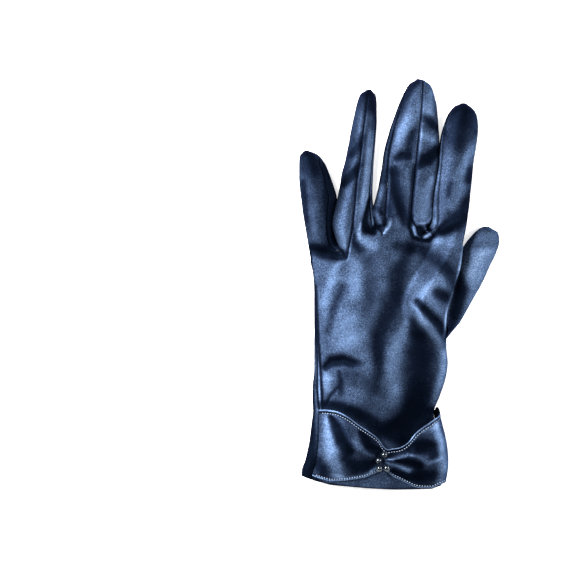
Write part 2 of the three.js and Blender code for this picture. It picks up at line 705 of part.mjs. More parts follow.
// The panels and strips of the hand
setInnerPoints(handSurfaces, wall);
trim(grids.palm[0], { left: 0, right: 0, level: true }, () => seamGap);
grids.palm.slice(1).forEach((surface, index) => {
  const left = index === 0 ? 0 : sideSeamRows + 1;
  const right = index === fingers.length - 1 ? 0 : sideSeamRows + 1;
  const tipGap = (r) => (r === surface.cells.length - 1 ? 1.6 * seamGap : seamGap);
  trim(surface, { left, right, last: true, level: true }, tipGap);
});
for (const name of fourchetteNames) {
  trim(grids[name][0], { left: 0, right: 0 }, (r) => {
    const fromCrotch = Math.abs(r - sideSeamRows) / 2;
    return seamGap + wall * Math.max(0, 1 - fromCrotch);
  });
}

// The thumb: an oval mouth sewn round the hole in the palm, then cross-sections to the tip
function thumbPoint(along, across, z) {
  const p = thumbBase.clone().addScaledVector(thumbAxis, along).addScaledVector(thumbSide, across);
  return new THREE.Vector3(p.x, p.y, z);
}

function thumbRing(at) {
  const left = look(thumbSections, 'at', 'left', at) * thumbWidth;
  const right = look(thumbSections, 'at', 'right', at) * thumbWidth;
  const crown = look(thumbSections, 'at', 'crown', at) * thumbDepth;
  const tipStart = 1 - tipLength / thumbLength;
  const squeeze = Math.sqrt(Math.max(0, 1 - (Math.max(0, at - tipStart) / (1 - tipStart)) ** 2));
  const half = (right - left) / 2;
  const radius = Math.min(edgeRadius, half * 0.8, crown * 0.45);
  const ring = outline(half, radius, crown);
  return Array.from({ length: thumbSides + 1 }, (unused, index) => {
    const halfTurn = thumbSides / 2;
    const i = squeeze > 0 ? index % thumbSides : Math.min(index, thumbSides - index);
    const distance =
      i <= halfTurn
        ? mix(0, ring.right, i / halfTurn)
        : mix(ring.right, ring.total, (i - halfTurn) / halfTurn);
    const p = outlinePoint(ring, distance);
    const height = mix(tipHeight * crown, p.z, squeeze);
    return thumbPoint(at * thumbLength, (left + right) / 2 + p.x, height);
  });
}

function thumbMouth() {
  return Array.from({ length: thumbSides + 1 }, (unused, i) => {
    const angle = Math.PI - (2 * Math.PI * (i % thumbSides)) / thumbSides;
    const across = (thumbMouthWidth / 2) * Math.cos(angle);
    const along = (thumbMouthLength / 2) * Math.sin(angle);
    const p = thumbPoint(along, across, 0);
    const under = thumbClearance * (0.6 + 0.4 * Math.sin(angle));
    return p.setZ(Math.max(0, thumbLift(p.x, p.y) - under));
  });
}

const thumbStart = (thumbMouthLength / 2 + 2.5) / thumbLength;
const mouthRow = thumbMouth();
const firstTube = thumbRing(thumbStart);
const between = (share) => mouthRow.map((p, i) => p.clone().lerp(firstTube[i], share));
const thumbStations = [0.06, 0.14, 0.24, 0.35, 0.46, 0.58, 0.7, 0.8, 0.88, 0.935, 0.97, 0.99, 1];
const thumbTube = thumbStations.map((share) => thumbRing(mix(thumbStart, 1, share)));
const thumbSurface = {
  rows: [mouthRow, between(0.35), between(0.7), firstTube, ...thumbTube],
  flip: false,
};
setInnerPoints([thumbSurface], wall);

// The bow band, laid on the back of the cuff
function onBack(around, at, height) {
  const ring = bodyRing(at);
  const distance = mix(ring.seam, ring.right, around);
  const step = 0.02;
  const here = bodyPoint(ring, distance);
  const across = bodyPoint(ring, distance + step).sub(bodyPoint(ring, distance - step));
  const along = bodyPoint(bodyRing(at + step), distance).sub(here);
  return here.add(across.cross(along).normalize().multiplyScalar(height));
}

function bandPoint(around, up) {
  const low = look(bandSections, 'around', 'low', around);
  const high = look(bandSections, 'around', 'high', around);
  const seat = onBack(around, 0.1, 0);
  const reach = lineAt(frontLine, seat.x) - lineAt(hemLine, seat.x);
  const at = (mix(low, high, up) * bandHeight) / reach;
  const puff = look(bandSections, 'around', 'puff', around) * bandPuff * Math.sin(Math.PI * up);
  const stand = look(bandSections, 'around', 'stand', around) * bandStandOff * mix(0.25, 1, up);
  const near = Math.exp(-(((around - pinch.around) / pleatReach) ** 2));
  const pleat = pleatHeight * near * (0.5 - 0.5 * Math.cos(2 * Math.PI * pleatCount * up));
  return onBack(around, at, bandClearance + wall + puff + stand + pleat);
}

const bandGrid = Array.from({ length: bandRows + 1 }, (unusedRow, r) =>
  Array.from({ length: bandColumns + 1 }, (unused, c) => bandPoint(c / bandColumns, r / bandRows)),
);
const bandSurface = { rows: bandGrid, flip: false };
setInnerPoints([bandSurface], wall);

// A bead is let down on the band until it nearly touches
function beadMesh(bead, index) {
  const radius = beadDiameter / 2;
  const centre = bandPoint(pinch.around, pinch.up);
  centre.x += bead.across * beadDiameter;
  centre.y += bead.along * beadDiameter;
  let height = 0;
  const fine = 4;
  for (let c = 0.4 * bandColumns * fine; c <= 0.6 * bandColumns * fine; c += 1) {
    for (let r = 0; r <= bandRows * fine; r += 1) {
      const p = bandPoint(c / bandColumns / fine, r / bandRows / fine);
      const away = Math.hypot(p.x - centre.x, p.y - centre.y);
      const over = radius + beadClearance;
      if (away < over) height = Math.max(height, p.z + Math.sqrt(over ** 2 - away ** 2));
    }
  }
  const mesh = new THREE.Mesh(new THREE.SphereGeometry(radius, 14, 8), beadMaterial);
  mesh.name = `bead_${index + 1}`;
  mesh.position.set(centre.x, centre.y, height);
  mesh.rotation.x = Math.PI / 2;
  return mesh;
}

// The hole in the palm that the thumb's mouth is sewn round
const wasm = await Module();
wasm.setup();

function manifoldOf({ points, triangles }) {
  return new wasm.Manifold(
    new wasm.Mesh({
      numProp: 3,
      vertProperties: new Float32Array(points.flatMap((p) => [p.x, p.y, p.z])),
      triVerts: new Uint32Array(triangles.flat()),
    }),
  );
}

function thumbHoleCutter() {
  const sides = 24;
  const height = 3 * palmDepth;
  const points = [];
  const triangles = [];
  for (const z of [-palmDepth, height]) {
    for (let i = 0; i < sides; i += 1) {
      const angle = (2 * Math.PI * i) / sides;
      const across = (thumbMouthWidth / 2 + seamGap) * Math.cos(angle);
      const along = (thumbMouthLength / 2 + seamGap) * Math.sin(angle);
      points.push(thumbPoint(along, across, z));
    }
  }
  for (let i = 0; i < sides; i += 1) {
    const next = (i + 1) % sides;
    triangles.push([i, next, i + sides], [next, next + sides, i + sides]);
    if (i > 0 && i + 1 < sides) {
      triangles.push([0, i + 1, i], [sides, i + sides, i + 1 + sides]);
    }
  }
  return { points, triangles };
}

function withThumbHole(solid) {
  const cut = manifoldOf(solid).subtract(manifoldOf(thumbHoleCutter())).getMesh();
  const points = [];
  for (let i = 0; i < cut.numVert; i += 1) {
    points.push(new THREE.Vector3().fromArray(cut.vertProperties, i * cut.numProp));
  }
  const triangles = [];
  for (let i = 0; i < cut.numTri; i += 1) triangles.push([...cut.triVerts.slice(3 * i, 3 * i + 3)]);
  return { points, triangles };
}

// Materials
const satin = new THREE.MeshStandardMaterial({ color: 0x18223c, roughness: 0.42, metalness: 0 });
const bandSatin = new THREE.MeshStandardMaterial({ color: 0x121a30, roughness: 0.34, metalness: 0 });
const beadMaterial = new THREE.MeshStandardMaterial({ color: 0x10131c, roughness: 0.12, metalness: 0.2 });

// The glove
const glove = new THREE.Group();
const add = (name, solid, material) => {
  const mesh = new THREE.Mesh(geometryOf(solid), material);
  mesh.name = name;
  glove.add(mesh);
};
add('back_panel', solidOf(grids.back), satin);
add('palm_panel', withThumbHole(solidOf(grids.palm)), satin);
for (const name of fourchetteNames) add(name, solidOf(grids[name]), satin);
add('thumb', solidOf([thumbSurface]), satin);
add('bow_band', solidOf([bandSurface]), bandSatin);
beads.forEach((bead, index) => glove.add(beadMesh(bead, index)));

// The origin is the middle of the glove's footprint, on the surface it lies on
glove.updateMatrixWorld(true);
const box = new THREE.Box3().setFromObject(glove, true);
const middle = box.getCenter(new THREE.Vector3());
glove.position.set(-middle.x, -middle.y, -box.min.z);

export default glove;
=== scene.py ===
"""A wrist-length dress glove of dark navy satin for the left hand, lying palm down.

The cloth is built as fine grids over the same shapes as the solids, in millimetres in the
glove's own frame (x across, y from the hem to the fingertips, z up), then given its folds,
seams and creases, a thickness, and placed in the frame in metres.
"""
import math

import bpy
import numpy as np
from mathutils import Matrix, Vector
from mathutils.kdtree import KDTree


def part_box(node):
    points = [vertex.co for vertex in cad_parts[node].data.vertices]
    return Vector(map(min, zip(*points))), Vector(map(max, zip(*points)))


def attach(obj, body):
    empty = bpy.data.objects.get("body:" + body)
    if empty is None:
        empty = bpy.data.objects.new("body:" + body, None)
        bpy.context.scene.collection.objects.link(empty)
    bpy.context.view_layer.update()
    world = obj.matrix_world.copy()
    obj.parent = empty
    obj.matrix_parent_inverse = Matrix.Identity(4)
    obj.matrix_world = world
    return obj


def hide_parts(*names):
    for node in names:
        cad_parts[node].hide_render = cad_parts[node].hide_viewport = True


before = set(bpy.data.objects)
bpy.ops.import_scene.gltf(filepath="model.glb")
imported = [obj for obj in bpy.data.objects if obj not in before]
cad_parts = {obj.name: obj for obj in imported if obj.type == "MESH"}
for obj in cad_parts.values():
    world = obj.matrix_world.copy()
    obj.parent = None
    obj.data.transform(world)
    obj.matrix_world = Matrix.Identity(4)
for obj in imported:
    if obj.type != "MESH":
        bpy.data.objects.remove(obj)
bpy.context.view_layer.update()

MM = 0.001
GLOVE_PLACE = np.array([-10.483, -115.072, 0.0])

# The camera looks straight down; the photograph's middle lies to the left of the glove
PHOTO_MIDDLE = (-61.1, -3.5)
PHOTO_WIDTH = 326.1
LENS = 100.0
SENSOR = 36.0


def make_camera():
    """A camera over the table that frames the glove as the photograph does."""
    data = bpy.data.cameras.new("camera")
    data.lens = LENS
    data.sensor_width = SENSOR
    data.clip_end = 20.0
    camera = bpy.data.objects.new("camera", data)
    height = PHOTO_WIDTH * LENS / SENSOR
    camera.location = Vector((PHOTO_MIDDLE[0], PHOTO_MIDDLE[1], height)) * MM
    bpy.context.scene.collection.objects.link(camera)
    bpy.context.scene.camera = camera


make_camera()

# Sizes are in millimetres and degrees. These are the solids' own, apart from the thinner wall
BODY_LENGTH = 142.5
PALM_WIDTH = 85.0
PALM_DEPTH = 13.0
WALL = 0.9
SEAM_ROLL = 8.0
FOURCHETTE_WIDTH = 15.0
TIP_LENGTH = 6.0
TIP_HEIGHT = 0.42
FINGER_GAP = 1.0
THUMB_LENGTH = 66.6
THUMB_WIDTH = 24.0
THUMB_DEPTH = 7.6
THUMB_TILT = 30.5
THUMB_MOUTH_WIDTH = 20.0
THUMB_MOUTH_LENGTH = 18.0
THUMB_CLEARANCE = 1.2
DRAPE_WIDTH = 13.0
BAND_HEIGHT = 38.0
BAND_CLEARANCE = 0.5
BAND_PUFF = 3.4
BAND_STAND_OFF = 4.0
PLEAT_HEIGHT = 1.8
PLEAT_COUNT = 2.5
PLEAT_REACH = 0.17
BEAD_DIAMETER = 3.6
# The rounding of a cross-section's sides: at most this, and these shares of its half and crown
EDGE_RADIUS = 2.8
RADIUS_BY_HALF = 0.8
RADIUS_BY_CROWN = 0.45
# The thumb's run from its mouth to its first ring, and the share by which the mouth dips less
THUMB_ROOT_RUN = 2.5
MOUTH_DIP = 0.6
# The cutter of the thumb's hole: how far it goes past the mouth, and from where to where
HOLE_MARGIN = 0.15
HOLE_HEIGHTS = (-20.0, 60.0)

# Places along a finger as shares of its length: where its seams end and over how much they
# narrow before that, where seams bend to the fingertip, and where the finger leaves the hand
SEAM_END = 0.968
SEAM_FADE = 0.13
APEX_START = 0.7
APEX_RUN = 0.25
ROOT_BLEND = 0.15
FIRST_STATION = 0.025

# A seam: its least width at a fingertip, the groove, the swelling beside it, how far off the
# cloth's unevenness fades in, and how far edges are drawn back, at most a share of a cell
SEAM_POINT_WIDTH = 1.25
SEAM_GROOVE = 0.3
GROOVE_WIDTH = 0.5
SEAM_BULGE = 0.1
BULGE_PLACE = 1.5
BULGE_WIDTH = 0.8
SEAM_CALM = 3.0
SEAM_OPENING = 0.12
MOST_OF_CELL = 0.4
# A fingertip: how far short of it folds fade and the wall thins, to what share, and how far
# beside its middle it counts
TIP_FADE = 3.5
TIP_THINNING = 1.5
TIP_WALL = 0.04
TIP_REACH = 14.0
# How a strip's end swells and is drawn back at its corners, over what run, and which end it is
TIP_SWELL = 0.2
TIP_ROUNDING = 0.7
TIP_SWELL_REACH = 3.0
TIP_CELL = 2.0
TIP_MARGIN = 0.4
# Lowest heights of cloth under and over the hand
LOW_FLOOR = 0.05
HIGH_FLOOR = 0.4
# The upward share of a normal at which folds begin to show, and over what range
UPPER_RANGE = (0.1, 0.6)
# How much of the relief the hand's folds and the thumb's folds and wrinkles take
FOLD_SCALE = 0.85
THUMB_FOLD_SCALE = 0.5
THUMB_WRINKLE_SCALE = 0.6

# The band's turned edges: how much they stand up and over what width, and the sewn line's
# inset, depth and width
HEM_HEIGHT = 0.3
HEM_WIDTH = 0.8
HEM_INSET = 0.6
LOW_INSET = 1.1
HIGH_INSET = 2.0
SEWN_DEPTH = 0.22
SEWN_WIDTH = 0.4
# The puckers along its lower edge, and where along the band they fade out
BAND_RUN = 80.0
PUCKER_PITCH = 1.45
PUCKER_HEIGHT = 0.16
PUCKER_REACH = 1.8
PUCKER_END = (0.38, 0.48)
# Its own unevenness, where its run is measured, and its share of the stand-off at the hem
BAND_WRINKLE_SCALE = 0.5
BAND_SHIFT = (40, 20)
BAND_PLACE = 0.1
STAND_AT_HEM = 0.25
# The cloth turned in behind its free edge
RETURN_RISE = 4.0
RETURN_HEIGHT = 0.75
RETURN_GAP = 0.3
RETURN_LEAST = 1.0
RETURN_WALL = 0.5
RETURN_POWER = 1.3
RETURN_BEND = 0.8
RETURN_DROP = 1.2
# The topstitches, and the half angle of the flats at a bead's hole
STITCH_PITCH = 1.5
STITCH_LENGTH = 0.84
STITCH_WIDTH = 0.46
STITCH_LIFT = 0.05
BEAD_HOLE_ANGLE = 0.16

# Tones: of a seam's dark line, how wide and how strong it is, the painted highlight of the lip
# beside it, and the painted shade of a rim, by the upward share of its normal and over what range
SEAM_TONE = -1.1
SEAM_LINE = 0.42
SEAM_LINE_SHARE = 0.8
LIP_PAINTED_HIGHLIGHT = 0.1
LIP_PLACE = 1.2
LIP_WIDTH = 0.5
RIM_RANGE = (0.05, 0.5)
RIM_PAINTED_SHADE = 0.8
# Tones of the band: the painted highlight of its turned edge, the dark line it is sewn along and the
# painted shadow on its cloth behind
EDGE_PAINTED_HIGHLIGHT = 0.95
EDGE_RANGE = (0.4, 0.7)
SEWN_TONE = 0.6
SEWN_INSET = 1.0
SEWN_LINE = 0.35
BEHIND_PAINTED_SHADOW = -1.2


def named(columns, rows):
    """A table as a dict of its columns."""
    return {name: np.array(values, float) for name, values in zip(columns, zip(*rows))}


FRONT_LINE = named(("across", "along"), [
    (-0.464, 0.894), (-0.225, 0.906), (0.007, 1.0), (0.265, 0.98), (0.535, 0.949),
])
HEM_LINE = named(("across", "along"), [
    (-0.522, 0.053), (-0.43, 0.035), (-0.33, 0.02), (-0.1, 0.008), (0.086, 0.002),
    (0.337, 0.003), (0.417, 0.02),
])
BODY = named(("at", "left", "right", "crown", "roll"), [
    (0.0, -0.522, 0.404, 0.66, 1.0),
    (0.04, -0.515, 0.414, 0.68, 1.0),
    (0.08, -0.496, 0.413, 0.7, 0.98),
    (0.14, -0.476, 0.404, 0.74, 0.92),
    (0.2, -0.463, 0.388, 0.78, 0.86),
    (0.25, -0.455, 0.37, 0.82, 0.78),
    (0.31, -0.445, 0.354, 0.86, 0.7),
    (0.36, -0.447, 0.387, 0.9, 0.62),
    (0.43, -0.445, 0.427, 0.94, 0.52),
    (0.5, -0.438, 0.445, 0.97, 0.44),
    (0.58, -0.436, 0.434, 1.0, 0.38),
    (0.66, -0.436, 0.425, 1.0, 0.3),
    (0.72, -0.436, 0.431, 1.0, 0.24),
    (0.78, -0.436, 0.449, 0.98, 0.18),
    (0.84, -0.437, 0.48, 0.95, 0.12),
    (0.89, -0.439, 0.51, 0.92, 0.08),
    (0.95, -0.449, 0.526, 0.88, 0.04),
    (1.0, -0.464, 0.535, 0.84, 0.0),
])

SECTION_COLUMNS = ("at", "left", "right", "crown")
SEAM_COLUMNS = ("at", "left_up", "left_low", "right_up", "right_low")


def finger(across, along, tilt, length, width, depth, sections, seams):
    angle = math.radians(tilt)
    return {
        "across": across, "along": along, "length": length, "width": width, "depth": depth,
        "axis": np.array([math.sin(angle), math.cos(angle), 0.0]),
        "sections": named(SECTION_COLUMNS, sections),
        "seams": named(SEAM_COLUMNS, seams),
        "apex": {},
    }


FINGERS = [
    finger(-0.344, 0.9, -11.1, 62.6, 20.0, 8.2, [
        (0.08, -0.48, 0.3, 1.0), (0.22, -0.47, 0.3, 1.0), (0.34, -0.46, 0.38, 1.0),
        (0.46, -0.45, 0.49, 0.98), (0.54, -0.43, 0.56, 0.96), (0.64, -0.41, 0.53, 0.95),
        (0.76, -0.37, 0.48, 0.94), (0.86, -0.31, 0.41, 0.92), (0.93, -0.26, 0.3, 0.9),
        (0.97, -0.22, 0.19, 0.86), (1.0, -0.12, 0.07, 0.8),
    ], [
        (0.08, 0, 0, 0.36, 0.3), (0.4, 0, 0, 0.42, 0.3), (0.8, 0, 0, 0.3, 0.15),
    ]),
    finger(-0.109, 0.953, 2.0, 88.1, 19.0, 10.4, [
        (0.05, -0.78, 0.33, 0.9), (0.15, -0.83, 0.29, 0.92), (0.22, -0.8, 0.23, 0.95),
        (0.3, -0.75, 0.18, 1.0), (0.38, -0.71, 0.17, 1.0), (0.46, -0.66, 0.18, 1.0),
        (0.54, -0.58, 0.19, 0.98), (0.66, -0.51, 0.22, 0.94), (0.78, -0.43, 0.235, 0.9),
        (0.87, -0.36, 0.225, 0.86), (0.93, -0.305, 0.21, 0.8), (0.97, -0.23, 0.17, 0.74),
        (1.0, -0.1, 0.06, 0.7),
    ], [
        (0.05, 0.78, 0.3, 0.26, 0.35), (0.3, 0.8, 0.3, 0.2, 0.42),
        (0.6, 0.7, 0.28, 0.14, 0.42), (0.85, 0.58, 0.22, 0.1, 0.35),
    ]),
    finger(0.135, 0.99, 6.7, 89.2, 30.0, 8.6, [
        (0.05, -0.455, 0.5, 1.0), (0.15, -0.485, 0.49, 1.0), (0.22, -0.485, 0.475, 1.0),
        (0.3, -0.48, 0.465, 0.98), (0.4, -0.485, 0.475, 0.96), (0.5, -0.485, 0.49, 0.98),
        (0.62, -0.44, 0.475, 1.0), (0.7, -0.4, 0.44, 1.0), (0.78, -0.35, 0.4, 1.0),
        (0.87, -0.275, 0.34, 0.98), (0.93, -0.215, 0.27, 0.94), (0.97, -0.14, 0.195, 0.88),
        (1.0, -0.05, 0.11, 0.8),
    ], [
        (0.08, 0.42, 0.3, 0.86, 0.15), (0.32, 0.34, 0.35, 0.83, 0.15),
        (0.58, 0.24, 0.35, 0.9, 0.1), (0.85, 0.14, 0.25, 0.7, 0.08),
    ]),
    finger(0.4, 0.965, 9.1, 79.7, 21.0, 9.0, [
        (0.06, -0.3, 0.56, 1.0), (0.15, -0.34, 0.56, 1.0), (0.22, -0.37, 0.56, 1.0),
        (0.34, -0.395, 0.565, 1.0), (0.46, -0.39, 0.555, 0.98), (0.6, -0.4, 0.52, 0.97),
        (0.72, -0.43, 0.52, 0.96), (0.82, -0.415, 0.505, 0.95), (0.89, -0.37, 0.455, 0.93),
        (0.93, -0.31, 0.4, 0.9), (0.97, -0.21, 0.28, 0.86), (1.0, -0.08, 0.12, 0.8),
    ], [
        (0.08, 0.4, 0.3, 0, 0), (0.5, 0.2, 0.5, 0, 0), (0.8, 0.12, 0.3, 0, 0),
    ]),
]
FINGER_NAMES = ("little", "ring", "middle", "index")
# Seams that run to the fingertip itself, as shares of the way over the top
FINGERS[1]["apex"]["left_up"] = 0.5
FINGERS[2]["apex"]["right_up"] = 0.42

THUMB_ROOT = (0.33, 0.625)
THUMB = named(SECTION_COLUMNS, [
    (0.0, -0.5, 0.5, 1.0), (0.2, -0.48, 0.505, 1.0), (0.38, -0.42, 0.495, 1.0),
    (0.55, -0.375, 0.483, 1.0), (0.72, -0.33, 0.437, 0.98), (0.83, -0.31, 0.41, 0.96),
    (0.93, -0.24, 0.345, 0.94), (0.98, -0.15, 0.25, 0.9), (1.0, -0.06, 0.18, 0.86),
])

BAND = named(("at", "low", "high", "puff", "stand"), [
    (0.0, 0.07, 1.06, 0.05, 0.0), (0.09, 0.06, 1.1, 0.45, 0.05), (0.17, 0.07, 1.09, 0.8, 0.1),
    (0.25, 0.1, 1.03, 1.0, 0.15), (0.327, 0.137, 0.94, 0.95, 0.15),
    (0.408, 0.19, 0.85, 0.7, 0.15), (0.471, 0.26, 0.75, 0.3, 0.1), (0.5, 0.295, 0.66, 0.1, 0.1),
    (0.529, 0.28, 0.61, 0.3, 0.1), (0.583, 0.21, 0.62, 0.6, 0.15),
    (0.646, 0.15, 0.64, 0.8, 0.2), (0.708, 0.092, 0.71, 0.95, 0.3),
    (0.762, 0.045, 0.82, 1.0, 0.45), (0.84, 0.024, 0.92, 0.8, 0.55),
    (0.924, 0.03, 0.99, 0.5, 0.6), (1.0, 0.06, 1.05, 0.15, 0.5),
])
# Where along the band the pinch is, as a share
PINCH = 0.5
BEAD_NAMES = ("bead_1", "bead_2", "bead_3", "bead_4")
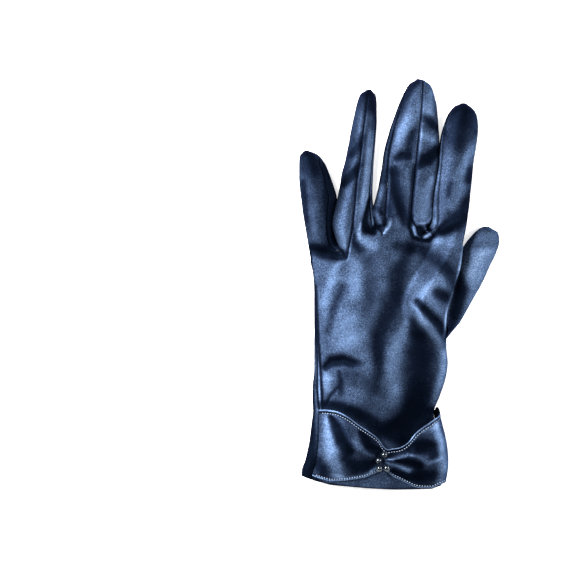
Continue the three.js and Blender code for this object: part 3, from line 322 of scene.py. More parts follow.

# The cloth's folds and its painted light and shade as strokes. Each has its relief, which is the
# height of a fold by its half width and tone, then x, y, half width and tone at each point. The tone
# is painted into the satin's colour: below 0 as painted shade, above 0 as a painted highlight;
# strokes of no relief are painted light and shade alone
STROKES = [
    # the hand
    (0.3, (16, 133, 3, -0.5), (10, 121, 5.5, -0.7), (8, 106, 6, -0.8), (3, 96, 6, -0.8),
     (-1.5, 86, 4.5, -0.85), (-1.5, 75, 3.6, -0.85), (-1, 66, 2.8, -0.6), (-3, 56, 2.5, -0.25)),
    (0.3, (17, 94, 2, -0.5), (20, 85, 5, -0.8), (22, 75, 8, -0.95), (22, 65, 8, -1),
     (21, 55, 7.5, -1.2), (19, 45, 8.5, -1.3), (14, 32, 8.5, -1.3)),
    (0.5, (19.5, 105, 1.8, -0.9), (26, 98.5, 2.4, -1.1), (32, 92, 2.4, -1), (36, 86, 2.2, -0.7)),
    (0.35, (16.5, 103, 2, 0.3), (24, 93, 2.6, 0.7), (31, 84.5, 2.6, 0.7), (35, 77, 2.6, 0.6),
     (35, 66, 2.6, 0.6), (31, 54, 2.4, 0.5), (28.5, 45, 1.6, 0.4)),
    (0.4, (21.5, 109, 2.5, 0.2), (25, 107, 3.5, 0.3), (31, 99.5, 3, 0.25)),
    (0.2, (25, 112, 3, 0.4), (32, 117.5, 3, 0.5), (34, 114, 2, 0.4)),
    (0.35, (30.5, 110, 2.6, -0.7), (35, 107.5, 3, -0.9)),
    (0.3, (17, 137, 3, -0.5), (25, 132.5, 4, -0.75), (32, 127.5, 4, -0.7), (38.5, 120, 3.6, -0.6),
     (41, 113, 2.4, -0.5)),
    (0.15, (22, 125, 4, -0.25), (27, 120, 4, -0.3)),
    (0.45, (27, 140.5, 1.2, -0.8), (34, 144.5, 3, -1), (42, 148, 3.5, -1), (47, 152, 3, -0.8)),
    (0.45, (-30.6, 68.5, 2, -1), (-27, 71.8, 3, -1.3), (-21, 72.6, 3.1, -1.3),
     (-15, 70.6, 2.4, -1), (-10, 70.5, 2, -0.3)),
    # the roll of the outer seam, with painted shade in it, a painted highlight beside it and painted
    # shade down the hand's left side
    (0.3, (-36.4, 114, 0.7, -1), (-35.5, 98, 0.7, -1.2), (-34.8, 83, 0.7, -1.2),
     (-33.7, 69, 0.7, -1.2), (-32.8, 55, 0.7, -1.2), (-32.5, 44, 0.7, -1)),
    (0, (-36.2, 86, 0.8, 0.2), (-35.4, 70, 1.1, 0.6), (-34.7, 56, 1.3, 0.7), (-34.3, 44, 1.3, 0.7)),
    (0, (-39.5, 135, 0.8, -0.9), (-38, 110, 0.7, -1), (-37.6, 80, 0.7, -1), (-37.8, 55, 1.2, -1),
     (-39, 40, 2.2, -1.2), (-40, 28, 4, -1.3), (-40.5, 18, 5, -1.3), (-41, 7, 5.5, -1.3)),
    # the thin dark edge of the hem
    (0, (-37, 5.6, 0.8, -1), (-31, 3.6, 0.7, -1.1), (-15, 1.3, 0.7, -1.1), (5, 0.3, 0.7, -1.1),
     (25, 0.4, 0.7, -1.1), (34, 3, 0.8, -1.1)),
    # the shadow under the band's upper edge
    (0.1, (-33, 47.5, 2.4, -0.8), (-25, 47, 3, -1.1), (-15, 43.5, 3.4, -1.2), (-7, 39, 4, -1.2),
     (0, 34, 5, -1.2), (8, 34, 6, -1.2), (16, 36, 6, -1.2), (24, 40, 5, -1.2), (29, 44, 2.6, -1)),
    (0.35, (-23, 66, 1.2, -0.4), (-22.3, 60, 1.8, -0.7), (-22, 54, 1.8, -0.5)),
    (0.35, (-31, 47, 0.8, -0.5), (-28.5, 52, 0.9, -0.7), (-24.5, 57, 1, -0.5)),
    (0.1, (-17, 64, 5, -0.3), (-8, 60, 5, -0.35), (-5, 55, 4, -0.3)),
    (0.3, (-21, 113, 2, -0.45), (-26, 101, 2.4, -0.6), (-29.5, 88, 2, -0.35)),
    (0.2, (-6, 128, 4, -0.3), (-6, 110, 4.5, -0.4), (-8, 98, 3, -0.2)),
    (0.5, (-38, 134.5, 3, -1), (-31, 132.5, 3.6, -1.2), (-24, 130.5, 3, -1.3), (-21, 130, 2, -1)),
    (0.3, (-15.5, 147, 0.9, -0.6), (-15, 138, 2, -0.8), (-11, 134, 3, -0.55)),
    (0.25, (9, 136, 3, -0.5), (16, 134.5, 3, -0.6)),
    (0.15, (-24, 127, 2.4, 0.3), (-28, 115, 3, 0.4), (-31.5, 104, 2.4, 0.3)),
    (0, (-15, 126, 4, 0.15), (-14, 110, 5, 0.2)),
    (0, (-12, 118, 9, 0.14), (20, 114, 12, 0.22), (26, 128, 10, 0.2)),
    (0, (4, 100, 8, 0.18), (-8, 80, 8, 0.15), (-12, 56, 8, 0.15)),
    (0, (-20, 98, 7, 0.22), (-19, 83, 8, 0.32)),
    (0.12, (14, 92, 3, 0.35), (9, 82, 4, 0.5), (7, 70, 4.5, 0.55), (7, 58, 4.5, 0.45),
     (9, 50, 5, 0.3)),
    (0, (-30, 62, 3, 0.5), (-30, 56, 2, 0.35)),
    (0.1, (-10, 138.5, 3, 0.4), (-4, 136, 3, 0.4)),
    (0, (32, 139, 3, 0.25), (40, 137, 3, 0.2)),
    # the little finger
    (0, (-41, 189, 5, -0.9), (-38, 180, 6, -0.6)),
    (0.2, (-31, 182, 2, -0.7), (-29, 166, 3.4, -1), (-27.5, 148, 3.4, -1.1), (-27, 137, 3.4, -1.1)),
    (0.12, (-38, 164, 3.5, 0.1), (-36.5, 153, 4, 0.2), (-36.5, 142, 3.5, 0.1)),
    (0, (-43, 172, 1.5, -0.5), (-41.5, 150, 1.5, -0.4)),
    (0, (-40, 180, 8, -0.3), (-37, 148, 8, -0.4)),
    # the ring finger
    (0, (-6, 224, 5, -1.1), (-7, 214, 4.5, -0.7)),
    (0, (-9, 205, 6, -0.12), (-14, 180, 7, -0.15), (-18, 150, 7, -0.2)),
    (0.1, (-11, 208, 2, 0.1), (-10.5, 201, 2.2, 0.3)),
    (0.4, (-9.5, 198, 1.4, -0.4), (-12, 192, 2, -0.7), (-15, 187, 1.8, -0.6)),
    (0.45, (-12, 181, 1.6, -0.6), (-15, 176, 2.2, -1), (-20, 170.5, 1.8, -0.9)),
    (0, (-18, 166, 2, 0.3), (-20, 156, 4, 0.15), (-20.5, 145, 4.5, 0.4), (-20, 136, 3, 0.5)),
    (0.15, (-5, 199, 2, 0.5), (-6, 186, 2.4, 0.85), (-8, 170, 2.4, 0.75), (-11.5, 155, 2, 0.6),
     (-13, 143, 1.6, 0.5)),
    (0, (-15, 200, 3, -0.2), (-18, 180, 3, -0.2), (-23, 160, 3, -0.3)),
    (0, (-3.5, 216, 1.6, -0.5), (-2.5, 204, 1.2, -0.3)),
    (0.3, (-6, 163.5, 0.8, -0.9), (-7.8, 156.5, 1.2, -1.3), (-9.2, 150, 1.9, -1.4),
     (-8, 145.5, 2.4, -1.4), (-4, 143.6, 1.6, -1.3)),
    (0.2, (-5.4, 155, 1, 0.3), (-4.6, 147.5, 0.7, 0.8)),
    (0.3, (-2.8, 158.5, 0.5, -1.2), (-2.9, 151.5, 0.7, -1.2), (-4, 145, 1, -1.2)),
    (0.1, (-7.3, 165, 0.6, 0.4), (-9.6, 154, 0.6, 0.5), (-11.8, 146, 0.7, 0.6),
     (-11.6, 141, 1.2, 0.5)),
    # the middle finger
    (0, (21, 230, 2.5, -0.7), (12.5, 218, 3, -0.8), (7.5, 203, 2.4, -0.6), (4.5, 190, 1.8, -0.5),
     (2, 172, 1.6, -0.6)),
    (0.12, (21, 214, 3, 0.2), (15.5, 205, 4.5, 0.35), (10, 196, 3.5, 0.3)),
    (0.3, (20, 203, 1.4, -0.3), (17, 197, 2.4, -0.6), (16, 190, 2.6, -0.6)),
    (0.4, (8.5, 185, 1.6, -0.7), (12, 186.5, 2.3, -1.1), (16.5, 186, 1.8, -0.8)),
    (0.1, (5, 178, 2, -0.3), (14, 176, 3, -0.2)),
    (0.35, (7.5, 178, 2.6, -0.6), (9, 165, 3, -0.8), (12, 155, 2.6, -0.8), (13, 149, 2, -0.5)),
    (0, (6, 175, 5, -0.3), (8, 158, 6, -0.45)),
    (0.1, (14.5, 178, 1.6, 0.25), (15.3, 165, 1.4, 0.2)),
    (0.2, (19, 180, 1.4, -0.7), (17.2, 160, 1.4, -0.9), (16, 148, 1.6, -0.7)),
    (0.1, (27.5, 221, 2.6, 0.4), (26, 211, 2.6, 0.5)),
    (0.45, (24, 208, 2, -0.5), (28, 204.5, 2.6, -1), (31, 202, 2, -0.8)),
    (0.15, (22.5, 198, 2, 0.5), (28, 195, 2, 0.45)),
    (0.35, (21.5, 181, 2.4, -1), (25, 184.5, 3.3, -1.35), (30.5, 189.5, 2.6, -1.2)),
    (0, (28, 174, 2, 0.4), (24, 165, 3.2, 0.5), (22.5, 153, 3.4, 0.4)),
    (0, (31.5, 182, 0.6, 0.5), (30, 170, 0.6, 0.6)),
    (0, (1, 165, 2, 0.2), (3, 158, 3, -0.4), (5, 152, 2, -0.5)),
    # the index finger
    (0, (47, 216, 7, -1.1), (45, 205, 8, -0.95), (42, 194, 6, -0.6), (36, 200, 3, -0.6)),
    (0, (52, 198, 4, -0.2), (46, 175, 8, -0.12), (36, 158, 6, -0.15)),
    (0.12, (54.5, 196, 2.4, 0.3), (49, 187, 3, 0.55), (43, 174, 3, 0.45)),
    (0.35, (50.5, 179, 2, -0.5), (49.5, 173, 2.6, -0.65)),
    (0.1, (44, 169, 3.4, 0.4), (40, 158, 3, 0.45)),
    (0.3, (39, 171, 1.6, -0.4), (37.5, 165, 1.8, -0.45)),
    (0.3, (50, 166, 2.4, -0.6), (47, 158, 3.4, -0.8), (41, 151, 3.4, -0.9), (34, 145.5, 2.4, -0.9)),
    (0, (33.5, 176, 1.2, 0.2), (31.5, 160, 1.6, -0.25)),
    (0.2, (31.2, 183, 0.5, -0.8), (30.6, 172, 0.5, -0.8), (29.4, 160, 0.6, -0.8),
     (28, 150, 0.8, -0.8)),
    # the rolled ends of the strips between the fingers, with painted shade in their hollows and
    # painted glints
    (0.5, (17.2, 153, 0.9, -0.9), (16, 146.4, 1, -1.2), (18, 140.8, 1.1, -1.2),
     (22.8, 139.2, 1, -1.2), (27, 139, 1, -1.2), (29.4, 141.5, 0.8, -1)),
    (0.4, (21, 145.4, 1.6, -1.3), (21.6, 142.6, 1.1, -1.3)),
    (0.4, (25.5, 148, 1.3, -1.3), (27, 145, 1, -1.3)),
    (0.3, (18.6, 146.5, 0.9, 0.8), (19, 142, 0.8, 0.8)),
    (0.2, (22.8, 141.2, 1.1, 0.9), (26.5, 141.4, 1.3, 1)),
    (0.5, (23.6, 146.4, 0.35, 1.2), (28.1, 141.8, 0.35, 1.2)),
    (0.2, (27.6, 157, 0.5, 0.7), (27.2, 152.7, 0.5, 0.8), (25.2, 149.6, 0.5, 0.8),
     (20.5, 148.4, 0.5, 0.6)),
    (0.1, (30, 151, 1.2, 0.3), (29.6, 145.5, 1.2, 0.5)),
    (0.4, (5.8, 151.5, 0.8, 0.4), (4.8, 147, 0.8, 0.9), (1.6, 143.2, 0.7, 1.1),
     (-0.3, 144.6, 0.6, 0.9), (-1.3, 147.6, 0.5, 0.7)),
    (0.4, (2.8, 151.4, 0.9, -1), (2.6, 148.4, 0.9, -1.2), (1, 146.6, 0.5, -0.8)),
    (0.4, (-1.2, 151.6, 1, -1.2), (-1.2, 148.8, 0.9, -1.2)),
    (0.1, (-0.4, 157, 1.2, -0.5), (1.6, 153.5, 1, -0.6)),
    (0.1, (2.4, 146, 0.6, 0.2), (0.6, 145, 0.6, 0.2)),
    # the thumb, with the painted shadow of the hand beside the hand's edge, painted light on the
    # thumb and a painted highlight along the hand's edge
    (0, (44, 121, 1.6, -0.8), (45, 112, 4, -1.4), (42.5, 102, 4, -1.3), (39, 90, 2.4, -1)),
    (0, (44, 95, 8, 0.35), (52, 116, 8, 0.6), (58, 131, 8, 0.6)),
    (0, (45.6, 137, 0.7, 0.6), (43, 121, 0.8, 1.1), (39.8, 110, 0.8, 1.1), (36, 98, 0.8, 1.1),
     (34.8, 86, 0.8, 0.8)),
    (0, (50, 122, 3, 0.3), (62, 142, 3, 0.3)),
    (0.1, (54, 136, 3, -0.4), (60, 137, 2.4, -0.3)),
]
# The bow band's folds and its painted shade and highlights, as strokes of the same kind
BAND_STROKES = [
    (0.12, (-30.5, 40, 2, 0.4), (-29.5, 30, 3.8, 0.65), (-27, 18, 5, 0.7), (-23, 9.5, 3.4, 0.6)),
    (0.2, (-28, 41, 1.4, -1), (-24.5, 35, 3, -1.2), (-21.5, 27, 3.6, -1.2), (-17.5, 22, 2.6, -1.1)),
    (0.25, (-16, 37, 1.4, 0.1), (-14, 30, 2, 0.3), (-12.5, 25, 2.4, 0.5), (-9, 21.3, 1.4, 0.4),
     (-4, 19.5, 0.9, 0.4)),
    (0.25, (-11, 32, 2, -0.8), (-7, 26, 3, -1.1), (-2, 22.5, 2, -1.1)),
    (0.2, (-20, 18, 3, -0.6), (-14, 14, 4, -0.6), (-7, 14.5, 3, -0.9), (-3, 16, 1.6, -1)),
    (0.2, (-5.5, 11.5, 1.2, 0.9), (-2.5, 13, 1, 0.8)),
    (0.1, (-35, 16, 3.4, -0.6), (-31, 9, 3, -0.6)),
    (0.12, (31, 37, 2.4, 0.5), (33, 28, 3.2, 0.75), (34.5, 14, 4, 0.75), (33, 5, 3, 0.6)),
    (0.1, (-30, 8.5, 2, 0.4), (-20, 6.6, 1.5, 0.6), (-11, 8, 1.2, 0.6), (-5, 10.5, 1.2, 0.7)),
    (0, (23, 33.5, 1.6, 0.4), (30, 36, 2.4, 0.5)),
    (0.5, (2.5, 17.3, 0.7, 0.8), (8, 18.2, 0.9, 0.8), (15, 20.2, 1, 0.6), (20, 19.6, 1.1, 0.5),
     (23.5, 16.6, 1.1, 0.45), (26.5, 15, 1.2, 0.45), (31, 17, 1.6, 0.4)),
    (0.45, (2.5, 16, 0.7, 0.6), (8, 14.5, 0.9, 0.6), (15.5, 11.2, 1.4, 0.7)),
    (0.25, (6, 21.5, 1.6, -1), (14, 24, 2.4, -1.1), (22, 25, 4, -1.1), (28, 24, 3.6, -1),
     (29.5, 19.5, 2.6, -0.9)),
    (0.2, (8, 17, 0.9, -0.9), (15, 16.5, 2, -1.1), (21, 14, 2.4, -1)),
    (0.2, (7, 11.5, 1.6, -0.9), (14, 7.5, 2.4, -0.9), (22, 8, 4, -0.8), (30, 8.5, 3, -0.7)),
]

# How finely the cloth is divided
BODY_ROWS = 170
TOP_STEPS_PER_FINGER = 28
PALM_STEPS_PER_FINGER = 14
STATIONS_PER_STEP = 7
SIDE_CELLS = 14
THUMB_SIDES = 72
THUMB_ROWS = 84
THUMB_ROOT_ROWS = 11
STATION_POWER = 1.3
BAND_COLUMNS = 230
BAND_ROWS = 76
RETURN_COLUMNS = 14
STITCH_SAMPLES = 1200
STITCH_SIDES, STITCH_RINGS = 6, 5
BEAD_SIDES, BEAD_RINGS = 36, 24
HOLE_SIDES = 64


def smooth(share):
    s = np.clip(share, 0, 1)
    return s * s * (3 - 2 * s)


def fade_in(value, start, end):
    return smooth((value - start) / (end - start))


def mix(a, b, share):
    return a + (b - a) * share


def look(table, column, place):
    """A smooth value of one column of a table at a place between its rows."""
    at, value = table["at"], table[column]
    slope = np.diff(value) / np.diff(at)
    tangent = np.concatenate([slope[:1], (slope[:-1] + slope[1:]) / 2, slope[-1:]])
    i = np.clip(np.searchsorted(at, place) - 1, 0, len(at) - 2)
    span = at[i + 1] - at[i]
    s = np.clip((place - at[i]) / span, 0, 1)
    return (
        (2 * s**3 - 3 * s**2 + 1) * value[i]
        + (s**3 - 2 * s**2 + s) * span * tangent[i]
        + (3 * s**2 - 2 * s**3) * value[i + 1]
        + (s**3 - s**2) * span * tangent[i + 1]
    )


class Outline:
    """The closed outline of a lying tube of cloth, from the left side's middle over the top."""

    ARC_STEPS = 10
    FLAT_STEPS = 64

    def __init__(self, half, radius, crown):
        core = half - radius
        rise = max(crown - 2 * radius, 0.0)
        lean = math.atan(2 * rise / core)

        def arc(x, start, end):
            angle = np.linspace(start, end, self.ARC_STEPS + 1)
            return np.column_stack([x + radius * np.cos(angle), radius + radius * np.sin(angle)])

        t = np.linspace(-1, 1, self.FLAT_STEPS + 1)[1:-1]
        angle = np.pi / 2 - np.arctan(2 * rise * t / core)
        dome = np.column_stack([
            core * t + radius * np.cos(angle),
            radius + rise * (1 - t * t) + radius * np.sin(angle),
        ])
        top = np.vstack([
            arc(-core, np.pi, np.pi / 2 + lean), dome, arc(core, np.pi / 2 - lean, 0),
        ])
        low = np.vstack([arc(core, 0, -np.pi / 2), arc(-core, -np.pi / 2, -np.pi)])
        self.points = np.vstack([top, low])
        steps = np.linalg.norm(np.diff(self.points, axis=0), axis=1)
        self.run = np.concatenate([[0], np.cumsum(steps)])
        self.top = len(top)
        self.right = self.run[self.top - 1]
        self.total = self.run[-1]

    def at(self, distance):
        wrapped = np.mod(distance, self.total)
        return (
            np.interp(wrapped, self.run, self.points[:, 0]),
            np.interp(wrapped, self.run, self.points[:, 1]),
        )

    def top_distance(self, x):
        return np.interp(x, self.points[: self.top, 0], self.run[: self.top])

    def low_distance(self, x):
        low = slice(self.top - 1, None)
        return np.interp(-x, -self.points[low, 0], self.run[low])


THUMB_ANGLE = math.radians(THUMB_TILT)
THUMB_AXIS = np.array([math.sin(THUMB_ANGLE), math.cos(THUMB_ANGLE)])
THUMB_SIDE = np.array([THUMB_AXIS[1], -THUMB_AXIS[0]])
THUMB_BASE = np.array([THUMB_ROOT[0] * PALM_WIDTH, THUMB_ROOT[1] * BODY_LENGTH])
RELIEF_START = THUMB_MOUTH_LENGTH / 2 + THUMB_WIDTH / 4


def thumb_lift(x, y):
    """How far the cloth of the hand is lifted where it lies over the thumb."""
    px, py = x - THUMB_BASE[0], y - THUMB_BASE[1]
    along = np.clip(px * THUMB_AXIS[0] + py * THUMB_AXIS[1], RELIEF_START, THUMB_LENGTH)
    away = np.hypot(px - THUMB_AXIS[0] * along, py - THUMB_AXIS[1] * along)
    return (THUMB_DEPTH + THUMB_CLEARANCE) * (1 - smooth((away - THUMB_WIDTH / 2) / DRAPE_WIDTH))


def line_at(line, x):
    return np.interp(x / PALM_WIDTH, line["across"], line["along"]) * BODY_LENGTH


class BodyRing(Outline):
    """One cross-section of the hand at a share of the way from hem to finger line."""

    def __init__(self, at):
        left = look(BODY, "left", at) * PALM_WIDTH
        right = look(BODY, "right", at) * PALM_WIDTH
        super().__init__((right - left) / 2, EDGE_RADIUS, look(BODY, "crown", at) * PALM_DEPTH)
        self.share = at
        self.centre = (left + right) / 2
        self.seam = look(BODY, "roll", at) * SEAM_ROLL

    def place(self, distance):
        x, z = self.at(distance)
        x = x + self.centre
        y = mix(line_at(HEM_LINE, x), line_at(FRONT_LINE, x), self.share)
        return np.stack([x, y, z + thumb_lift(x, y)], axis=-1)


FRONT_RING = BodyRing(1.0)
CROTCHES = FRONT_LINE["across"] * PALM_WIDTH - FRONT_RING.centre


def group_edges(ring, on_top):
    """Where the four finger groups part on a cross-section, as distances along it."""
    start = ring.seam + (0 if on_top else ring.total)
    front_start = FRONT_RING.seam + (0 if on_top else FRONT_RING.total)
    find = FRONT_RING.top_distance if on_top else FRONT_RING.low_distance
    edges = []
    for group in range(len(FINGERS) + 1):
        share = group / len(FINGERS)
        if 0 < group < len(FINGERS):
            front = find(CROTCHES[group])
            front_share = (front - front_start) / (FRONT_RING.right - front_start)
            share = mix(share, front_share, smooth(ring.share))
        edges.append(mix(start, ring.right, share))
    return edges


def body_grid(on_top, steps):
    rows = []
    for at in np.linspace(0, 1, BODY_ROWS + 1):
        ring = BodyRing(at)
        edges = group_edges(ring, on_top)
        runs = [
            mix(edges[g], edges[g + 1], steps[1:] if g else steps) for g in range(len(FINGERS))
        ]
        rows.append(ring.place(np.concatenate(runs)))
    return np.array(rows)


def tip_squeeze(at, length):
    """How much of its height a finger keeps at a station, down to none at the very tip."""
    start = 1 - TIP_LENGTH / length
    return math.sqrt(max(0.0, 1 - (max(0.0, at - start) / (1 - start)) ** 2))


def tube_outline(left, right, crown):
    half = (right - left) / 2
    radius = min(EDGE_RADIUS, half * RADIUS_BY_HALF, crown * RADIUS_BY_CROWN)
    return Outline(half, radius, crown)


FINGER_STATIONS = [
    0, 0.025, 0.06, 0.1, 0.15, 0.22, 0.31, 0.41, 0.52, 0.63, 0.73, 0.82, 0.89, 0.93, 0.968,
    0.985, 0.995, 1,
]
STATIONS = np.interp(
    np.arange(1, (len(FINGER_STATIONS) - 1) * STATIONS_PER_STEP + 1) / STATIONS_PER_STEP,
    np.arange(len(FINGER_STATIONS)),
    FINGER_STATIONS,
)
SIDE_STEPS = np.linspace(0, 1, SIDE_CELLS + 1)


def finger_ring(index, at, steps):
    """A finger's cross-section at a station, as its four runs of points."""
    part = FINGERS[index]
    left = look(part["sections"], "left", at) * part["width"]
    right = look(part["sections"], "right", at) * part["width"]
    crown = look(part["sections"], "crown", at) * part["depth"]
    squeeze = tip_squeeze(at, part["length"])
    ring = tube_outline(left, right, crown)
    middle = (left + right) / 2
    ax, ay = part["axis"][0], part["axis"][1]

    def place(distance):
        px, pz = ring.at(distance)
        across = middle + px
        x = part["across"] * PALM_WIDTH + ax * at * part["length"] + ay * across
        y = part["along"] * BODY_LENGTH + ay * at * part["length"] - ax * across
        z = mix(TIP_HEIGHT * crown, pz, squeeze)
        return np.stack([x, y, z + thumb_lift(x, y)], axis=-1)

    def seam(column, outer):
        if outer:
            return 0.0
        full = look(part["seams"], column, at) * FOURCHETTE_WIDTH
        if column in part["apex"]:
            bent = smooth((at - APEX_START) / APEX_RUN)
            return mix(full, part["apex"][column] * ring.right, bent)
        point = SEAM_POINT_WIDTH * min(1.0, (1 - at) / (1 - SEAM_END))
        return max(full * smooth((SEAM_END - at) / SEAM_FADE), point)

    first, last = index == 0, index == len(FINGERS) - 1
    left_up, left_low = seam("left_up", first), seam("left_low", first)
    right_up, right_low = ring.right - seam("right_up", last), ring.right + seam("right_low", last)
    top = place(mix(left_up, right_up, steps))
    low = place(mix(ring.total - left_low, right_low, steps))
    return {
        "top": top,
        "low": low,
        "right": place(mix(right_up, right_low, SIDE_STEPS)),
        "left": place(mix(left_up, -left_low, SIDE_STEPS)),
    }


def side_axis(index, beside):
    own = FINGERS[index]["axis"]
    other = FINGERS[beside]["axis"] if 0 <= beside < len(FINGERS) else own
    return (own + other) / np.linalg.norm(own + other)


def finger_grid(index, run, root, steps):
    """One run of a finger's cloth, grown out of the hand's own row so that no step shows."""
    share = {"left": np.zeros(len(root)), "right": np.ones(len(root))}.get(run, steps)
    axis = mix(side_axis(index, index - 1), side_axis(index, index + 1), share[:, None])
    rows = [root]
    for at in STATIONS:
        moved = root + axis * at * FINGERS[index]["length"]
        moved[:, 0] += (0.5 - share) * FINGER_GAP * smooth(at / FIRST_STATION)
        rows.append(mix(moved, finger_ring(index, at, steps)[run], smooth(at / ROOT_BLEND)))
    return np.array(rows)


def crotch_wall(upper, lower):
    return mix(upper, lower, SIDE_STEPS[:, None])


TOP_STEPS = np.linspace(0, 1, TOP_STEPS_PER_FINGER + 1)
PALM_STEPS = np.linspace(0, 1, PALM_STEPS_PER_FINGER + 1)


class Grid:
    """A grid of cloth: its points, which way is out, its surface and the fingers it is on."""

    def __init__(self, points, flip, kind, fingers=()):
        self.points = points
        self.flip = flip
        self.kind = kind
        self.fingers = fingers
        self.wall = np.full(points.shape[:2], WALL)


def hand_grids():
    back, palm = body_grid(True, TOP_STEPS), body_grid(False, PALM_STEPS)
    grids = {"back_panel": [Grid(back, False, "top")], "palm_panel": [Grid(palm, True, "low")]}
    sides = []
    for index in range(len(FINGERS)):
        first = index * TOP_STEPS_PER_FINGER
        back_root = back[-1][first : first + TOP_STEPS_PER_FINGER + 1]
        first = index * PALM_STEPS_PER_FINGER
        palm_root = palm[-1][first : first + PALM_STEPS_PER_FINGER + 1]
        grids["back_panel"].append(
            Grid(finger_grid(index, "top", back_root, TOP_STEPS), False, "top", [index])
        )
        grids["palm_panel"].append(
            Grid(finger_grid(index, "low", palm_root, PALM_STEPS), True, "low", [index])
        )
        sides.append([
            finger_grid(index, "left", crotch_wall(back_root[0], palm_root[0]), TOP_STEPS),
            finger_grid(index, "right", crotch_wall(back_root[-1], palm_root[-1]), TOP_STEPS),
        ])
    for index in range(len(FINGERS) - 1):
        down, up = sides[index][1][::-1], sides[index + 1][0][1:]
        name = f"fourchette_{FINGER_NAMES[index]}_{FINGER_NAMES[index + 1]}"
        grids[name] = [Grid(np.concatenate([down, up]), True, "side", [index, index + 1])]
    return grids


def joined(grids, values):
    """A value of every point of the grids, one grid after the other."""
    return np.concatenate([getattr(grid, values).reshape(-1) for grid in grids])


def shared_points(grids):
    """Where each point that grids share is first found, and each grid's numbers for them."""
    keys = np.round(joined(grids, "points").reshape(-1, 3) * 1e4).astype(np.int64)
    first, index = np.unique(keys, axis=0, return_index=True, return_inverse=True)[1:]
    ends = np.cumsum([grid.wall.size for grid in grids])
    runs = np.split(index.reshape(-1), ends[:-1])
    return first, [run.reshape(grid.wall.shape) for run, grid in zip(runs, grids)]


def set_normals(grids):
    """Outward normals at every point of the grids, shared where grids meet."""
    first, numbers = shared_points(grids)
    sums = np.zeros((len(first), 3))
    for grid, ids in zip(grids, numbers):
        p = grid.points
        normal = np.cross(p[1:, 1:] - p[:-1, :-1], p[1:, :-1] - p[:-1, 1:])
        if grid.flip:
            normal = -normal
        for corner in (ids[:-1, :-1], ids[:-1, 1:], ids[1:, 1:], ids[1:, :-1]):
            np.add.at(sums, corner.reshape(-1), normal.reshape(-1, 3))
    sums /= np.maximum(np.linalg.norm(sums, axis=1, keepdims=True), 1e-12)
    for grid, ids in zip(grids, numbers):
        grid.normals = sums[ids]


class Noise:
    """Smooth random heights over a plane, the same in every run."""

    SIZE = 89

    def __init__(self, seed):
        self.lattice = np.random.default_rng(seed).uniform(-1, 1, (self.SIZE, self.SIZE))

    def at(self, x, y):
        i, j = np.floor(x).astype(int), np.floor(y).astype(int)
        u, v = smooth(x - i), smooth(y - j)

        def corner(a, b):
            return self.lattice[(i + a) % self.SIZE, (j + b) % self.SIZE]

        return mix(mix(corner(0, 0), corner(1, 0), u), mix(corner(0, 1), corner(1, 1), u), v)


GATHERS = Noise(17)
# The unevenness of the cloth: noise, its height, its size across and along, and its shift
WRINKLES = [
    (Noise(3), 0.22, (9.0, 13.0), (5, 0)),
    (GATHERS, 0.1, (4.2, 5.5), (0, 9)),
    (Noise(29), 0.035, (1.7, 1.9), (0, 0)),
]
# The upright gathers at the hem: height, size, shift, and where along the hand they end
GATHER_HEIGHT = 0.16
GATHER_SIZE = (1.5, 9.0)
GATHER_SHIFT = 31
GATHER_END = (6, 16)

# How far a stroke reaches in half widths, how sharply its tone ends, and the most tones add to
STROKE_REACH = 2.6
TONE_POWER = 2.6
TONE_LIMIT = 1.2


def strokes_at(strokes, x, y):
    """The height and the tone of painted light and shade that the strokes give at each place."""
    height, tone = np.zeros_like(x), np.zeros_like(x)
    for relief, *points in strokes:
        p = np.array(points, float)
        reach = STROKE_REACH * p[:, 2].max()
        near = (
            (x > p[:, 0].min() - reach) & (x < p[:, 0].max() + reach)
            & (y > p[:, 1].min() - reach) & (y < p[:, 1].max() + reach)
        )
        if not near.any():
            continue
        qx, qy = x[near], y[near]
        best = np.full(qx.shape, np.inf)
        width, value = np.zeros_like(qx), np.zeros_like(qx)
        for a, b in zip(p, p[1:]):
            run = b[:2] - a[:2]
            share = np.clip(((qx - a[0]) * run[0] + (qy - a[1]) * run[1]) / (run @ run), 0, 1)
            away = np.hypot(qx - a[0] - run[0] * share, qy - a[1] - run[1] * share)
            here = mix(a[2], b[2], share)
            closer = away / here < best
            width = np.where(closer, here, width)
            value = np.where(closer, mix(a[3], b[3], share), value)
            best = np.where(closer, away / here, best)
        height[near] += relief * width * value * np.exp(-(best**2))
        tone[near] += value * np.exp(-(best**TONE_POWER))
    return height, np.clip(tone, -TONE_LIMIT, TONE_LIMIT)


def wrinkles(x, y):
    """Soft unevenness of thin cloth, and fine upright gathers at the hem."""
    height = np.zeros_like(x)
    for noise, scale, size, shift in WRINKLES:
        height += scale * noise.at(x / size[0] + shift[0], y / size[1] + shift[1])
    gathers = GATHERS.at(x / GATHER_SIZE[0] + GATHER_SHIFT, y / GATHER_SIZE[1])
    return height + GATHER_HEIGHT * gathers * (1 - fade_in(y, *GATHER_END))


# Seams that hardly show, by finger and side
FAINT_SEAMS = {("middle", "left"): 0.6, ("index", "left"): 0.35}


def bell(distance, width):
    return np.exp(-((distance / width) ** 2))


def seam_height(distance):
    bulge = SEAM_BULGE * bell(distance - BULGE_PLACE, BULGE_WIDTH)
    return bulge - SEAM_GROOVE * bell(distance, GROOVE_WIDTH)


# How far each finger strip is rolled out on its two sides, and how much further it swells
# beside the crotch, where and over how much of its length; then how close to the crotch the
# strip is pinched
STRIPS = {
    "fourchette_little_ring": ([(0.9, 1.3, 0.07, 0.1), (2.6, 0.9, 0.2, 0.1)], 0.012),
    "fourchette_ring_middle": ([(0.9, 1.5, 0.12, 0.12), (1.5, 2.4, 0.2, 0.1)], 0.012),
    "fourchette_middle_index": ([(2.4, 0.9, 0.45, 0.16), (0.8, 0.6, 0.45, 0.16)], 0.06),
}
# The share of the roll that fades out towards the fingertip, where it has done so, and how
# full the roll is across the strip
ROLL_FADE = 0.75
ROLL_FADE_END = 0.8
ROLL_POWER = 0.7


